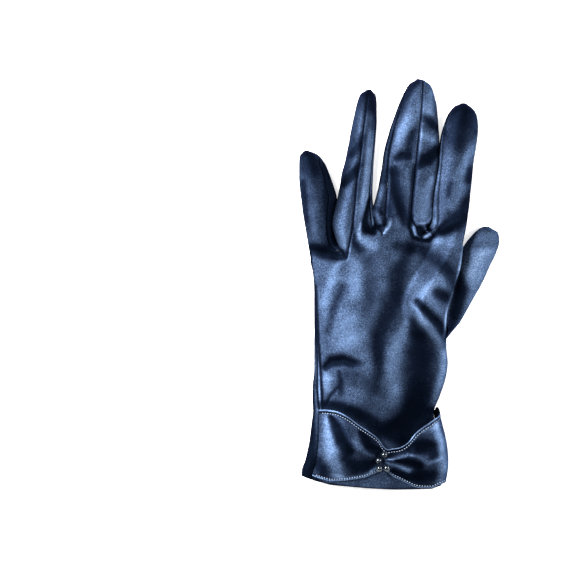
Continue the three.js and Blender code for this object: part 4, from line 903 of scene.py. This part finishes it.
def strip_amount(name, rows):
    """How far a strip between two fingers swells out, from one fingertip to the other."""
    crotch = (rows - 1) / 2
    place = (np.arange(rows) - crotch) / crotch
    away = np.abs(place)
    puffs, pinched = STRIPS[name]
    sides = [
        rolled * (1 - ROLL_FADE * smooth(away / ROLL_FADE_END)) + swell * bell(away - middle, spread)
        for rolled, swell, middle, spread in puffs
    ]
    return np.where(place < 0, *sides) * smooth(away / pinched)


def from_tips(points, tips):
    """How far short of the nearest fingertip each point is."""
    short = np.full(points.shape[:2], np.inf)
    for tip, axis in tips:
        run = (tip - points) @ axis
        beside = np.linalg.norm(tip - points - run[..., None] * axis, axis=-1)
        near = (np.abs(run) < short) & (beside < TIP_REACH)
        short = np.where(near, np.abs(run), short)
    return short


class Seams:
    """The seams between the pieces of the hand's cloth."""

    def __init__(self, grids):
        points, strength = [], []
        for grid in grids:
            if grid.kind == "side":
                continue
            for edge, side in ((0, "left"), (-1, "right")):
                name = FINGER_NAMES[grid.fingers[0]] if grid.fingers else None
                points += list(grid.points[:, edge])
                strength += [FAINT_SEAMS.get((name, side), 1.0)] * len(grid.points)
        self.strength = np.array(strength)
        self.tree = KDTree(len(points))
        for i, point in enumerate(points):
            self.tree.insert(point, i)
        self.tree.balance()

    def near(self, points):
        """The distance from each point to the nearest seam, and how strongly that one shows."""
        found = [self.tree.find(p) for p in points.reshape(-1, 3)]
        away = np.array([one[2] for one in found]).reshape(points.shape[:2])
        return away, self.strength[[one[1] for one in found]].reshape(points.shape[:2])


def facing_up(grid):
    return smooth((grid.normals[..., 2] - UPPER_RANGE[0]) / UPPER_RANGE[1])


def fold(grid, calm, away, strength):
    """Gives a grid the strokes' relief, and its tone: the strokes' painted light and shade, the
    seams' dark lines, a painted highlight on the lip beside them and painted shade on its rim.
    """
    upper = facing_up(grid)
    height, tone = strokes_at(STROKES, grid.flat_x, grid.flat_y)
    tone = tone * (upper if grid.kind == "low" else 1)
    grid.points[..., 2] += FOLD_SCALE * calm * upper * height
    line = SEAM_LINE_SHARE * strength * bell(away, SEAM_LINE)
    # The lip beside a seam gets a painted highlight, and the rim, where the cloth turns from facing
    # up, painted shade
    painted_lip_highlight = LIP_PAINTED_HIGHLIGHT * bell(away - LIP_PLACE, LIP_WIDTH)
    painted_rim_shade = 1 - smooth((grid.normals[..., 2] - RIM_RANGE[0]) / RIM_RANGE[1])
    grid.tone = mix(tone, SEAM_TONE, line) + painted_lip_highlight - RIM_PAINTED_SHADE * painted_rim_shade


def round_tip(grid, tip, axis):
    """Swells a strip's end at a fingertip and draws its corners back."""
    across = np.array([axis[1], -axis[0], 0.0])
    ends = [grid.points[end] - tip for end in (-1, 0)]
    half = TIP_MARGIN + max(
        abs(end @ across).max() for end in ends if abs(end @ axis).max() < TIP_CELL
    )
    from_middle = (grid.points - tip) @ across / half
    bulge = TIP_SWELL - TIP_ROUNDING * np.clip(from_middle**2, 0, 1)
    close = np.clip(1 - np.abs((tip - grid.points) @ axis) / TIP_SWELL_REACH, 0, 1)
    grid.points += axis * (bulge * close**2)[..., None]


def shape_hand(parts):
    """Adds folds, seams and puffed strips to the hand's cloth, and its tone of painted light and
    shade with the seams' dark lines.
    """
    everything = [grid for grids in parts.values() for grid in grids]
    set_normals(everything)
    seams = Seams(everything)
    tips = [
        (grid.points[-1].mean(axis=0), FINGERS[grid.fingers[0]]["axis"])
        for grid in parts["back_panel"][1:]
    ]
    for name, grids in parts.items():
        for grid in grids:
            away, strength = seams.near(grid.points)
            grid.flat_x, grid.flat_y = grid.points[..., 0].copy(), grid.points[..., 1].copy()
            short = from_tips(grid.points, tips)
            calm = smooth(short / TIP_FADE)
            grid.wall = WALL * mix(TIP_WALL, 1, smooth(short / TIP_THINNING))
            uneven = wrinkles(grid.flat_x, grid.flat_y) * smooth(away / SEAM_CALM)
            lift = strength * seam_height(away) + uneven
            if grid.kind == "side":
                rows, columns = away.shape
                rolled = np.sin(np.pi * np.linspace(0, 1, columns)) ** ROLL_POWER
                lift = lift + strip_amount(name, rows)[:, None] * rolled
            grid.points += grid.normals * (calm * lift)[..., None]
            grid.tone = np.zeros(away.shape)
            if grid.kind != "low" or not grid.fingers:
                fold(grid, calm, away, strength)
            for index in grid.fingers:
                round_tip(grid, *tips[index])
            low = LOW_FLOOR if grid.kind == "low" else HIGH_FLOOR
            grid.points[..., 2] = np.maximum(grid.points[..., 2], low)
    set_normals(everything)
    for grid in everything:
        for index, end in zip(grid.fingers, (0, -1) if grid.kind == "side" else (-1,)):
            grid.normals[end] = FINGERS[index]["axis"]


def pull_back(grids, distance):
    """Draws the cloth's side edges back a little from their seams."""
    for grid in grids:
        for edge, inside in ((0, 1), (-1, -2)):
            run = grid.points[:, inside] - grid.points[:, edge]
            length = np.maximum(np.linalg.norm(run, axis=1, keepdims=True), 1e-9)
            grid.points[:, edge] += run / length * np.minimum(distance, MOST_OF_CELL * length)


def cloth(name, grids):
    """One closed piece of cloth from grids that share their edges, with its wall inside."""
    first, numbers = shared_points(grids)
    outer = joined(grids, "points").reshape(-1, 3)[first]
    normals = joined(grids, "normals").reshape(-1, 3)[first]
    inner = outer - normals * joined(grids, "wall")[first][:, None]
    outer_faces = []
    for grid, ids in zip(grids, numbers):
        quads = np.stack([ids[:-1, :-1], ids[:-1, 1:], ids[1:, 1:], ids[1:, :-1]], axis=-1)
        quads = quads.reshape(-1, 4)
        for face in (quads[:, ::-1] if grid.flip else quads).tolist():
            corners = list(dict.fromkeys(face))
            if len(corners) > 2:
                outer_faces.append(corners)
    edges = set()
    for face in outer_faces:
        edges.update(zip(face, face[1:] + face[:1]))
    count = len(first)
    polygons = outer_faces + [[corner + count for corner in face[::-1]] for face in outer_faces]
    polygons += [
        [b, a, a + count, b + count] for a, b in sorted(edges) if (b, a) not in edges
    ]
    piece = make_object(name, np.concatenate([outer, inner]), polygons)
    # The tone holds painted shade and highlights with the seams' dark lines; the satin reads it as
    # its colour
    tones = joined(grids, "tone")[first]
    attribute = piece.data.attributes.new("tone", "FLOAT", "POINT")
    attribute.data.foreach_set("value", np.concatenate([tones, tones]))
    return piece


def tube_faces(sides, rows, base=0):
    """The faces of a capped tube whose rings of points follow one another."""
    faces = []
    for start in range(base, base + sides * (rows - 1), sides):
        for i in range(sides):
            a, b = start + i, start + (i + 1) % sides
            faces.append([a, b, b + sides, a + sides])
    faces.append([base + i for i in reversed(range(sides))])
    faces.append([base + (rows - 1) * sides + i for i in range(sides)])
    return faces


def make_object(name, points, polygons, smooth_angle=50.0):
    """An object of smooth faces, its points moved from the glove's own frame to the shared one."""
    mesh = bpy.data.meshes.new(name)
    mesh.from_pydata(((points + GLOVE_PLACE) * MM).tolist(), [], polygons)
    mesh.validate()
    mesh.polygons.foreach_set("use_smooth", [True] * len(mesh.polygons))
    mesh.set_sharp_from_angle(angle=math.radians(smooth_angle))
    thing = bpy.data.objects.new(name, mesh)
    bpy.context.scene.collection.objects.link(thing)
    return thing


def thumb_place(along, across, z):
    x = THUMB_BASE[0] + THUMB_AXIS[0] * along + THUMB_SIDE[0] * across
    y = THUMB_BASE[1] + THUMB_AXIS[1] * along + THUMB_SIDE[1] * across
    return np.stack([x, y, np.broadcast_to(z, np.shape(x))], axis=-1)


def thumb_ring(at):
    left = look(THUMB, "left", at) * THUMB_WIDTH
    right = look(THUMB, "right", at) * THUMB_WIDTH
    crown = look(THUMB, "crown", at) * THUMB_DEPTH
    squeeze = tip_squeeze(at, THUMB_LENGTH)
    ring = tube_outline(left, right, crown)
    half_turn = THUMB_SIDES // 2
    i = np.arange(THUMB_SIDES + 1)
    i = i % THUMB_SIDES if squeeze > 0 else np.minimum(i, THUMB_SIDES - i)
    distance = np.where(
        i <= half_turn,
        mix(0, ring.right, i / half_turn),
        mix(ring.right, ring.total, (i - half_turn) / half_turn),
    )
    x, z = ring.at(distance)
    height = mix(TIP_HEIGHT * crown, z, squeeze)
    return thumb_place(np.full_like(x, at * THUMB_LENGTH), (left + right) / 2 + x, height)


def thumb_mouth():
    angle = np.pi - 2 * np.pi * (np.arange(THUMB_SIDES + 1) % THUMB_SIDES) / THUMB_SIDES
    across, along = THUMB_MOUTH_WIDTH / 2 * np.cos(angle), THUMB_MOUTH_LENGTH / 2 * np.sin(angle)
    place = thumb_place(along, across, 0.0)
    under = THUMB_CLEARANCE * mix(MOUTH_DIP, 1, np.sin(angle))
    place[:, 2] = np.maximum(0, thumb_lift(place[:, 0], place[:, 1]) - under)
    return place


def make_thumb():
    start = (THUMB_MOUTH_LENGTH / 2 + THUMB_ROOT_RUN) / THUMB_LENGTH
    mouth, first = thumb_mouth(), thumb_ring(start)
    shares = np.linspace(0, 1, THUMB_ROOT_ROWS + 1)[:-1]
    stations = mix(start, 1, 1 - (1 - np.linspace(0, 1, THUMB_ROWS)) ** STATION_POWER)
    rows = [mix(mouth, first, share) for share in shares] + [thumb_ring(at) for at in stations]
    grid = Grid(np.array(rows), False, "thumb")
    set_normals([grid])
    x, y = grid.points[..., 0], grid.points[..., 1]
    upper = facing_up(grid)
    # The strokes give the thumb painted shade and highlights where it faces up
    height, tone = strokes_at(STROKES, x, y)
    grid.tone = tone * upper
    lift = THUMB_WRINKLE_SCALE * wrinkles(x, y) + THUMB_FOLD_SCALE * upper * height
    grid.points += grid.normals * lift[..., None]
    grid.points[..., 2] = np.maximum(grid.points[..., 2], LOW_FLOOR)
    set_normals([grid])
    short = (1 - np.concatenate([np.zeros(THUMB_ROOT_ROWS), stations])) * THUMB_LENGTH
    grid.wall *= mix(TIP_WALL, 1, smooth(short / TIP_THINNING))[:, None]
    grid.normals[-1] = [*THUMB_AXIS, 0.0]
    return cloth("glove_thumb", [grid])


class BandSeat:
    """The hand's upper surface under the bow band, by share round it and along it."""

    AROUND = 240
    ALONG = 100
    REACH = 0.42

    def __init__(self):
        around = np.linspace(0, 1, self.AROUND + 1)
        rows = []
        for at in np.linspace(0, self.REACH, self.ALONG + 1):
            ring = BodyRing(at)
            rows.append(ring.place(mix(ring.seam, ring.right, around)))
        self.points = np.array(rows)
        across = np.gradient(self.points, axis=1)
        along = np.gradient(self.points, axis=0)
        normals = np.cross(across, along)
        self.normals = normals / np.linalg.norm(normals, axis=2, keepdims=True)

    def look(self, table, around, at):
        u, v = np.clip(around, 0, 1) * self.AROUND, np.clip(at / self.REACH, 0, 1) * self.ALONG
        i, j = np.minimum(u.astype(int), self.AROUND - 1), np.minimum(v.astype(int), self.ALONG - 1)
        s, t = (u - i)[..., None], (v - j)[..., None]
        low = mix(table[j, i], table[j, i + 1], s)
        return mix(low, mix(table[j + 1, i], table[j + 1, i + 1], s), t)


SEAT = BandSeat()


def band_span(around):
    return (look(BAND, "high", around) - look(BAND, "low", around)) * BAND_HEIGHT


def hem_height(around, up, x, y):
    """The band's folds, its turned and sewn edges, and the puckers along its lower edge."""
    height = strokes_at(BAND_STROKES, x, y)[0]
    height = height + BAND_WRINKLE_SCALE * wrinkles(x + BAND_SHIFT[0], y + BAND_SHIFT[1])
    span = band_span(around)
    from_low, from_high = up * span, (1 - up) * span
    for away, inset in ((from_low, LOW_INSET), (from_high, HIGH_INSET)):
        height = height + HEM_HEIGHT * (1 - smooth((away - HEM_INSET * inset) / HEM_WIDTH))
        height = height - SEWN_DEPTH * bell(away - inset, SEWN_WIDTH)
    pucker = np.sin(2 * np.pi * around * BAND_RUN / PUCKER_PITCH) * bell(from_low, PUCKER_REACH)
    return height + PUCKER_HEIGHT * pucker * (1 - fade_in(around, *PUCKER_END))


def band_point(around, up, extra=0.0):
    """A point of the bow band's outer face, extra millimetres above it."""
    low, high = look(BAND, "low", around), look(BAND, "high", around)
    base_x = SEAT.look(SEAT.points, around, np.full_like(around, BAND_PLACE))[..., 0]
    reach = line_at(FRONT_LINE, base_x) - line_at(HEM_LINE, base_x)
    at = mix(low, high, up) * BAND_HEIGHT / reach
    seat, normal = SEAT.look(SEAT.points, around, at), SEAT.look(SEAT.normals, around, at)
    puff = look(BAND, "puff", around) * BAND_PUFF * np.sin(np.pi * up)
    stand = look(BAND, "stand", around) * BAND_STAND_OFF * mix(STAND_AT_HEM, 1, up)
    near = bell(around - PINCH, PLEAT_REACH)
    pleat = PLEAT_HEIGHT * near * (0.5 - 0.5 * np.cos(2 * np.pi * PLEAT_COUNT * up))
    lowest = BAND_CLEARANCE + WALL
    height = lowest + puff + stand + pleat + hem_height(around, up, seat[..., 0], seat[..., 1])
    return seat + normal * (np.maximum(height, lowest) + extra)[..., None]


def make_band():
    around, up = np.meshgrid(
        np.linspace(0, 1, BAND_COLUMNS + 1), np.linspace(0, 1, BAND_ROWS + 1)
    )
    grid = Grid(band_point(around, up), False, "band")
    set_normals([grid])
    # The band's strokes paint its shade and highlights into its tone
    tone = strokes_at(BAND_STROKES, grid.points[..., 0], grid.points[..., 1])[1]
    edge = np.minimum(up, 1 - up) * band_span(around)
    sewn = tone - SEWN_TONE * bell(edge - SEWN_INSET, SEWN_LINE)
    # The turned edge gets a painted highlight
    grid.tone = mix(sewn, EDGE_PAINTED_HIGHLIGHT, 1 - fade_in(edge, *EDGE_RANGE))
    return cloth("bow_band_cloth", [grid, band_return(grid)])


def band_return(front):
    """The band's cloth turned in behind its free right edge, down to the table, painted dark as
    shadow.
    """
    edge = front.points[:, -1]
    turned = np.linspace(0, 1, RETURN_COLUMNS + 1)
    body_edge = look(BODY, "right", edge[:, 1] / BODY_LENGTH) * PALM_WIDTH
    inward = np.minimum(body_edge - RETURN_GAP - edge[:, 0], -RETURN_LEAST)
    rises = RETURN_RISE * np.linspace(0, 1, len(edge)) ** 3
    points = np.repeat(edge[:, None], len(turned), axis=1)
    points[..., 0] += inward[:, None] * turned**RETURN_POWER
    points[..., 1] += rises[:, None] * np.sin(np.pi * np.minimum(turned, RETURN_BEND))
    points[..., 2] = mix(edge[:, None, 2], RETURN_HEIGHT, smooth(turned * RETURN_DROP))
    grid = Grid(points, False, "band")
    grid.wall[:] = mix(WALL, RETURN_WALL, turned)
    set_normals([grid])
    # The turned-in cloth is painted dark as shadow, but for its first column, which takes the
    # front's tone
    grid.tone = np.full(points.shape[:2], BEHIND_PAINTED_SHADOW)
    grid.tone[:, 0] = front.tone[:, -1]
    return grid


def stitch_rows():
    """Centres, directions and normals of the topstitches along both edges of the band."""
    around = np.linspace(0.01, 0.99, STITCH_SAMPLES)
    span = band_span(around)
    for up in (1 - HIGH_INSET / span, LOW_INSET / span):
        line = band_point(around, up)
        steps = np.linalg.norm(np.diff(line, axis=0), axis=1)
        run = np.concatenate([[0], np.cumsum(steps)])
        places = np.arange(STITCH_PITCH, run[-1], STITCH_PITCH)
        yield from zip(*(
            np.column_stack([np.interp(places, run, column) for column in values.T])
            for values in (line, np.gradient(line, axis=0), band_point(around, up, 1.0) - line)
        ))


def make_stitches():
    points, polygons = [], []
    for centre, tangent, normal in stitch_rows():
        along = tangent / np.linalg.norm(tangent)
        up = normal / np.linalg.norm(normal)
        side = np.cross(along, up)
        polygons += tube_faces(STITCH_SIDES, STITCH_RINGS, len(points))
        for turn in np.pi * (np.arange(STITCH_RINGS) + 0.5) / STITCH_RINGS:
            middle = centre + up * STITCH_LIFT - along * STITCH_LENGTH / 2 * math.cos(turn)
            for angle in 2 * np.pi * np.arange(STITCH_SIDES) / STITCH_SIDES:
                radial = math.cos(angle) * side + math.sin(angle) * up
                points.append(middle + radial * STITCH_WIDTH / 2 * math.sin(turn))
    return make_object("bow_topstitching", np.array(points), polygons, 80)


def make_bead(name):
    """A ball where the solid bead is, with the small flats of its hole's two ends."""
    centre = np.mean(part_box(name), axis=0) / MM - GLOVE_PLACE
    points = []
    for polar in np.linspace(BEAD_HOLE_ANGLE, np.pi - BEAD_HOLE_ANGLE, BEAD_RINGS + 1):
        for angle in 2 * np.pi * np.arange(BEAD_SIDES) / BEAD_SIDES:
            across = math.sin(polar)
            points.append([across * math.cos(angle), math.cos(polar), across * math.sin(angle)])
    ball = centre + BEAD_DIAMETER / 2 * np.array(points)
    return make_object(f"{name}_ball", ball, tube_faces(BEAD_SIDES, BEAD_RINGS + 1), 60)


def cut_thumb_hole(palm):
    """Cuts the hole in which the thumb's cloth ends."""
    angle = 2 * np.pi * np.arange(HOLE_SIDES) / HOLE_SIDES
    along = (THUMB_MOUTH_LENGTH / 2 + HOLE_MARGIN) * np.sin(angle)
    across = (THUMB_MOUTH_WIDTH / 2 + HOLE_MARGIN) * np.cos(angle)
    points = np.concatenate([thumb_place(along, across, z) for z in HOLE_HEIGHTS])
    cutter = make_object("cutter", points, tube_faces(HOLE_SIDES, 2))
    cut = palm.modifiers.new("hole", "BOOLEAN")
    cut.operation = "DIFFERENCE"
    cut.solver = "EXACT"
    cut.object = cutter
    bpy.context.view_layer.update()
    evaluated = palm.evaluated_get(bpy.context.evaluated_depsgraph_get())
    mesh = bpy.data.meshes.new_from_object(evaluated)
    palm.modifiers.clear()
    palm.data = mesh
    bpy.data.objects.remove(cutter)


class Material:
    """A material of nodes round its one shader."""

    def __init__(self, name):
        self.data = bpy.data.materials.new(name)
        self.data.use_nodes = True
        self.tree = self.data.node_tree
        self.shader = self.tree.nodes["Principled BSDF"]

    def set(self, node, sockets):
        """Gives a node's sockets, by name or number, a value or another node's output."""
        for socket, value in sockets.items():
            if isinstance(value, bpy.types.NodeSocket):
                self.tree.links.new(value, node.inputs[socket])
            else:
                node.inputs[socket].default_value = value

    def add(self, kind, sockets):
        node = self.tree.nodes.new(f"ShaderNode{kind}")
        self.set(node, sockets)
        return node

    def noise(self, size, detail=2.0, harshness=0.5):
        place = self.add("TexCoord", {}).outputs["Object"]
        return self.add("TexNoise", {
            "Vector": place, "Scale": 1 / size, "Detail": detail, "Roughness": harshness,
        }).outputs["Fac"]

    def scaled(self, value, factor, plus):
        node = self.add("Math", {0: value, 1: factor, 2: plus})
        node.operation = "MULTIPLY_ADD"
        return node.outputs["Value"]

    def ramp(self, value, shades):
        node = self.add("ValToRGB", {"Fac": value})
        elements = node.color_ramp.elements
        for index, (at, color) in enumerate(shades):
            element = elements[index] if index < len(elements) else elements.new(at)
            element.position = at
            element.color = (*color, 1)
        return node.outputs["Color"]


# The satin's colours from darkest to lightest; the tone moves its colour along them, so the dark end
# shows painted shade and the light end painted highlights
SATIN_SHADES = [
    (0.0, (0.0006, 0.0014, 0.0035)),
    (0.28, (0.0025, 0.0045, 0.011)),
    (0.52, (0.015, 0.024, 0.046)),
    (0.76, (0.06, 0.096, 0.172)),
    (1.0, (0.185, 0.265, 0.42)),
]
# How much of the satin's colour comes from its tone of painted light and shade, its cloudiness and
# its grain
TONE_SHARE = 0.42
CLOUD_SHARE = 0.3
GRAIN_SHARE = 0.85
CLOUD_SIZE = 0.009
GRAIN_SIZE = 0.0007
FLECK_SIZE = 1 / 900
ROUGHNESS_RANGE = 0.12


def satin(name, middle, roughness):
    """Tightly woven satin, near-black navy to steel blue, coloured by the painted shade and
    highlights of its tone attribute, its cloudiness and its grain.
    """
    material = Material(name)
    cloud, grain = material.noise(CLOUD_SIZE, 4), material.noise(GRAIN_SIZE, 4, 0.7)
    tone = material.add("Attribute", {})
    tone.attribute_name = "tone"
    darkest = middle - 0.5 * CLOUD_SHARE - 0.5 * GRAIN_SHARE
    shade = material.scaled(tone.outputs["Fac"], TONE_SHARE, darkest)
    shade = material.scaled(grain, GRAIN_SHARE, material.scaled(cloud, CLOUD_SHARE, shade))
    bump = material.add("Bump", {"Strength": 0.4, "Distance": 0.00015, "Height": grain})
    material.set(material.shader, {
        "Base Color": material.ramp(shade, SATIN_SHADES),
        "Normal": bump.outputs["Normal"],
        "Roughness": material.scaled(cloud, ROUGHNESS_RANGE, roughness - ROUGHNESS_RANGE / 2),
        "Metallic": 0.8,
        "Specular IOR Level": 0.06,
        "Specular Tint": (0.3, 0.4, 0.6, 1),
    })
    return material.data


def plain_material(name, color, roughness, gloss):
    """One colour with a slight unevenness."""
    material = Material(name)
    shades = [(0.0, 0.85 * np.array(color)), (1.0, 1.1 * np.array(color))]
    material.set(material.shader, {
        "Base Color": material.ramp(material.noise(FLECK_SIZE), shades),
        "Roughness": roughness,
        "Specular IOR Level": gloss,
        "Specular Tint": (0.75, 0.88, 1, 1),
    })
    return material.data


# The floor's half width, and each light's name, place, width, height and power
FLOOR_HALF = 4.0
LIGHTS = [
    ("key", (-0.7, 0.3, 0.75), 0.32, 0.32, 44),
    ("side", (0.8, 0.1, 0.5), 0.3, 0.6, 10),
]


def area_light(name, place, width, height, power):
    data = bpy.data.lights.new(name, "AREA")
    data.shape = "RECTANGLE"
    data.size = width
    data.size_y = height
    data.energy = power
    light = bpy.data.objects.new(name, data)
    light.location = Vector(place)
    light.rotation_euler = (-light.location).to_track_quat("-Z", "Y").to_euler()
    bpy.context.scene.collection.objects.link(light)


def make_stage():
    """A pale floor under soft light from both sides."""
    mesh = bpy.data.meshes.new("floor")
    corners = [(x * FLOOR_HALF, y * FLOOR_HALF, 0) for x, y in ((-1, -1), (1, -1), (1, 1), (-1, 1))]
    mesh.from_pydata(corners, [], [[0, 1, 2, 3]])
    floor = bpy.data.objects.new("floor", mesh)
    bpy.context.scene.collection.objects.link(floor)
    material = Material("pale_floor")
    material.set(material.shader, {
        "Base Color": (0.95, 0.95, 0.95, 1),
        "Roughness": 0.9,
        "Emission Color": (1, 1, 1, 1),
        "Emission Strength": 0.6,
    })
    floor.data.materials.append(material.data)
    world = bpy.data.worlds.new("studio")
    world.use_nodes = True
    background = world.node_tree.nodes["Background"]
    background.inputs["Color"].default_value = (0.95, 0.97, 1.0, 1)
    background.inputs["Strength"].default_value = 0.55
    bpy.context.scene.world = world
    bpy.context.scene.view_settings.view_transform = "Standard"
    for light in LIGHTS:
        area_light(*light)


parts = hand_grids()
shape_hand(parts)
for name, grids in parts.items():
    if name != "back_panel":
        pull_back(grids, SEAM_OPENING)

glove_satin = satin("navy_satin", 0.52, 0.58)
band_satin = satin("band_satin", 0.43, 0.48)
thread = plain_material("pale_thread", (0.24, 0.3, 0.4), 0.5, 0.3)
bead_gloss = plain_material("black_bead", (0.002, 0.0025, 0.004), 0.09, 0.9)


def dress(piece, material, slot, *nodes):
    piece.data.materials.clear()
    piece.data.materials.append(material)
    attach(piece, "root")
    if nodes:
        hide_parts(*nodes)


for name, grids in parts.items():
    piece = cloth(f"{name}_cloth", grids)
    if name == "palm_panel":
        cut_thumb_hole(piece)
    dress(piece, glove_satin, "satin", name)
dress(make_thumb(), glove_satin, "satin", "thumb")
band = make_band()
dress(band, band_satin, "band_satin", "bow_band")
stitches = make_stitches()
dress(stitches, thread, "band_satin")
for name in BEAD_NAMES:
    dress(make_bead(name), bead_gloss, "bead", name)
make_stage()
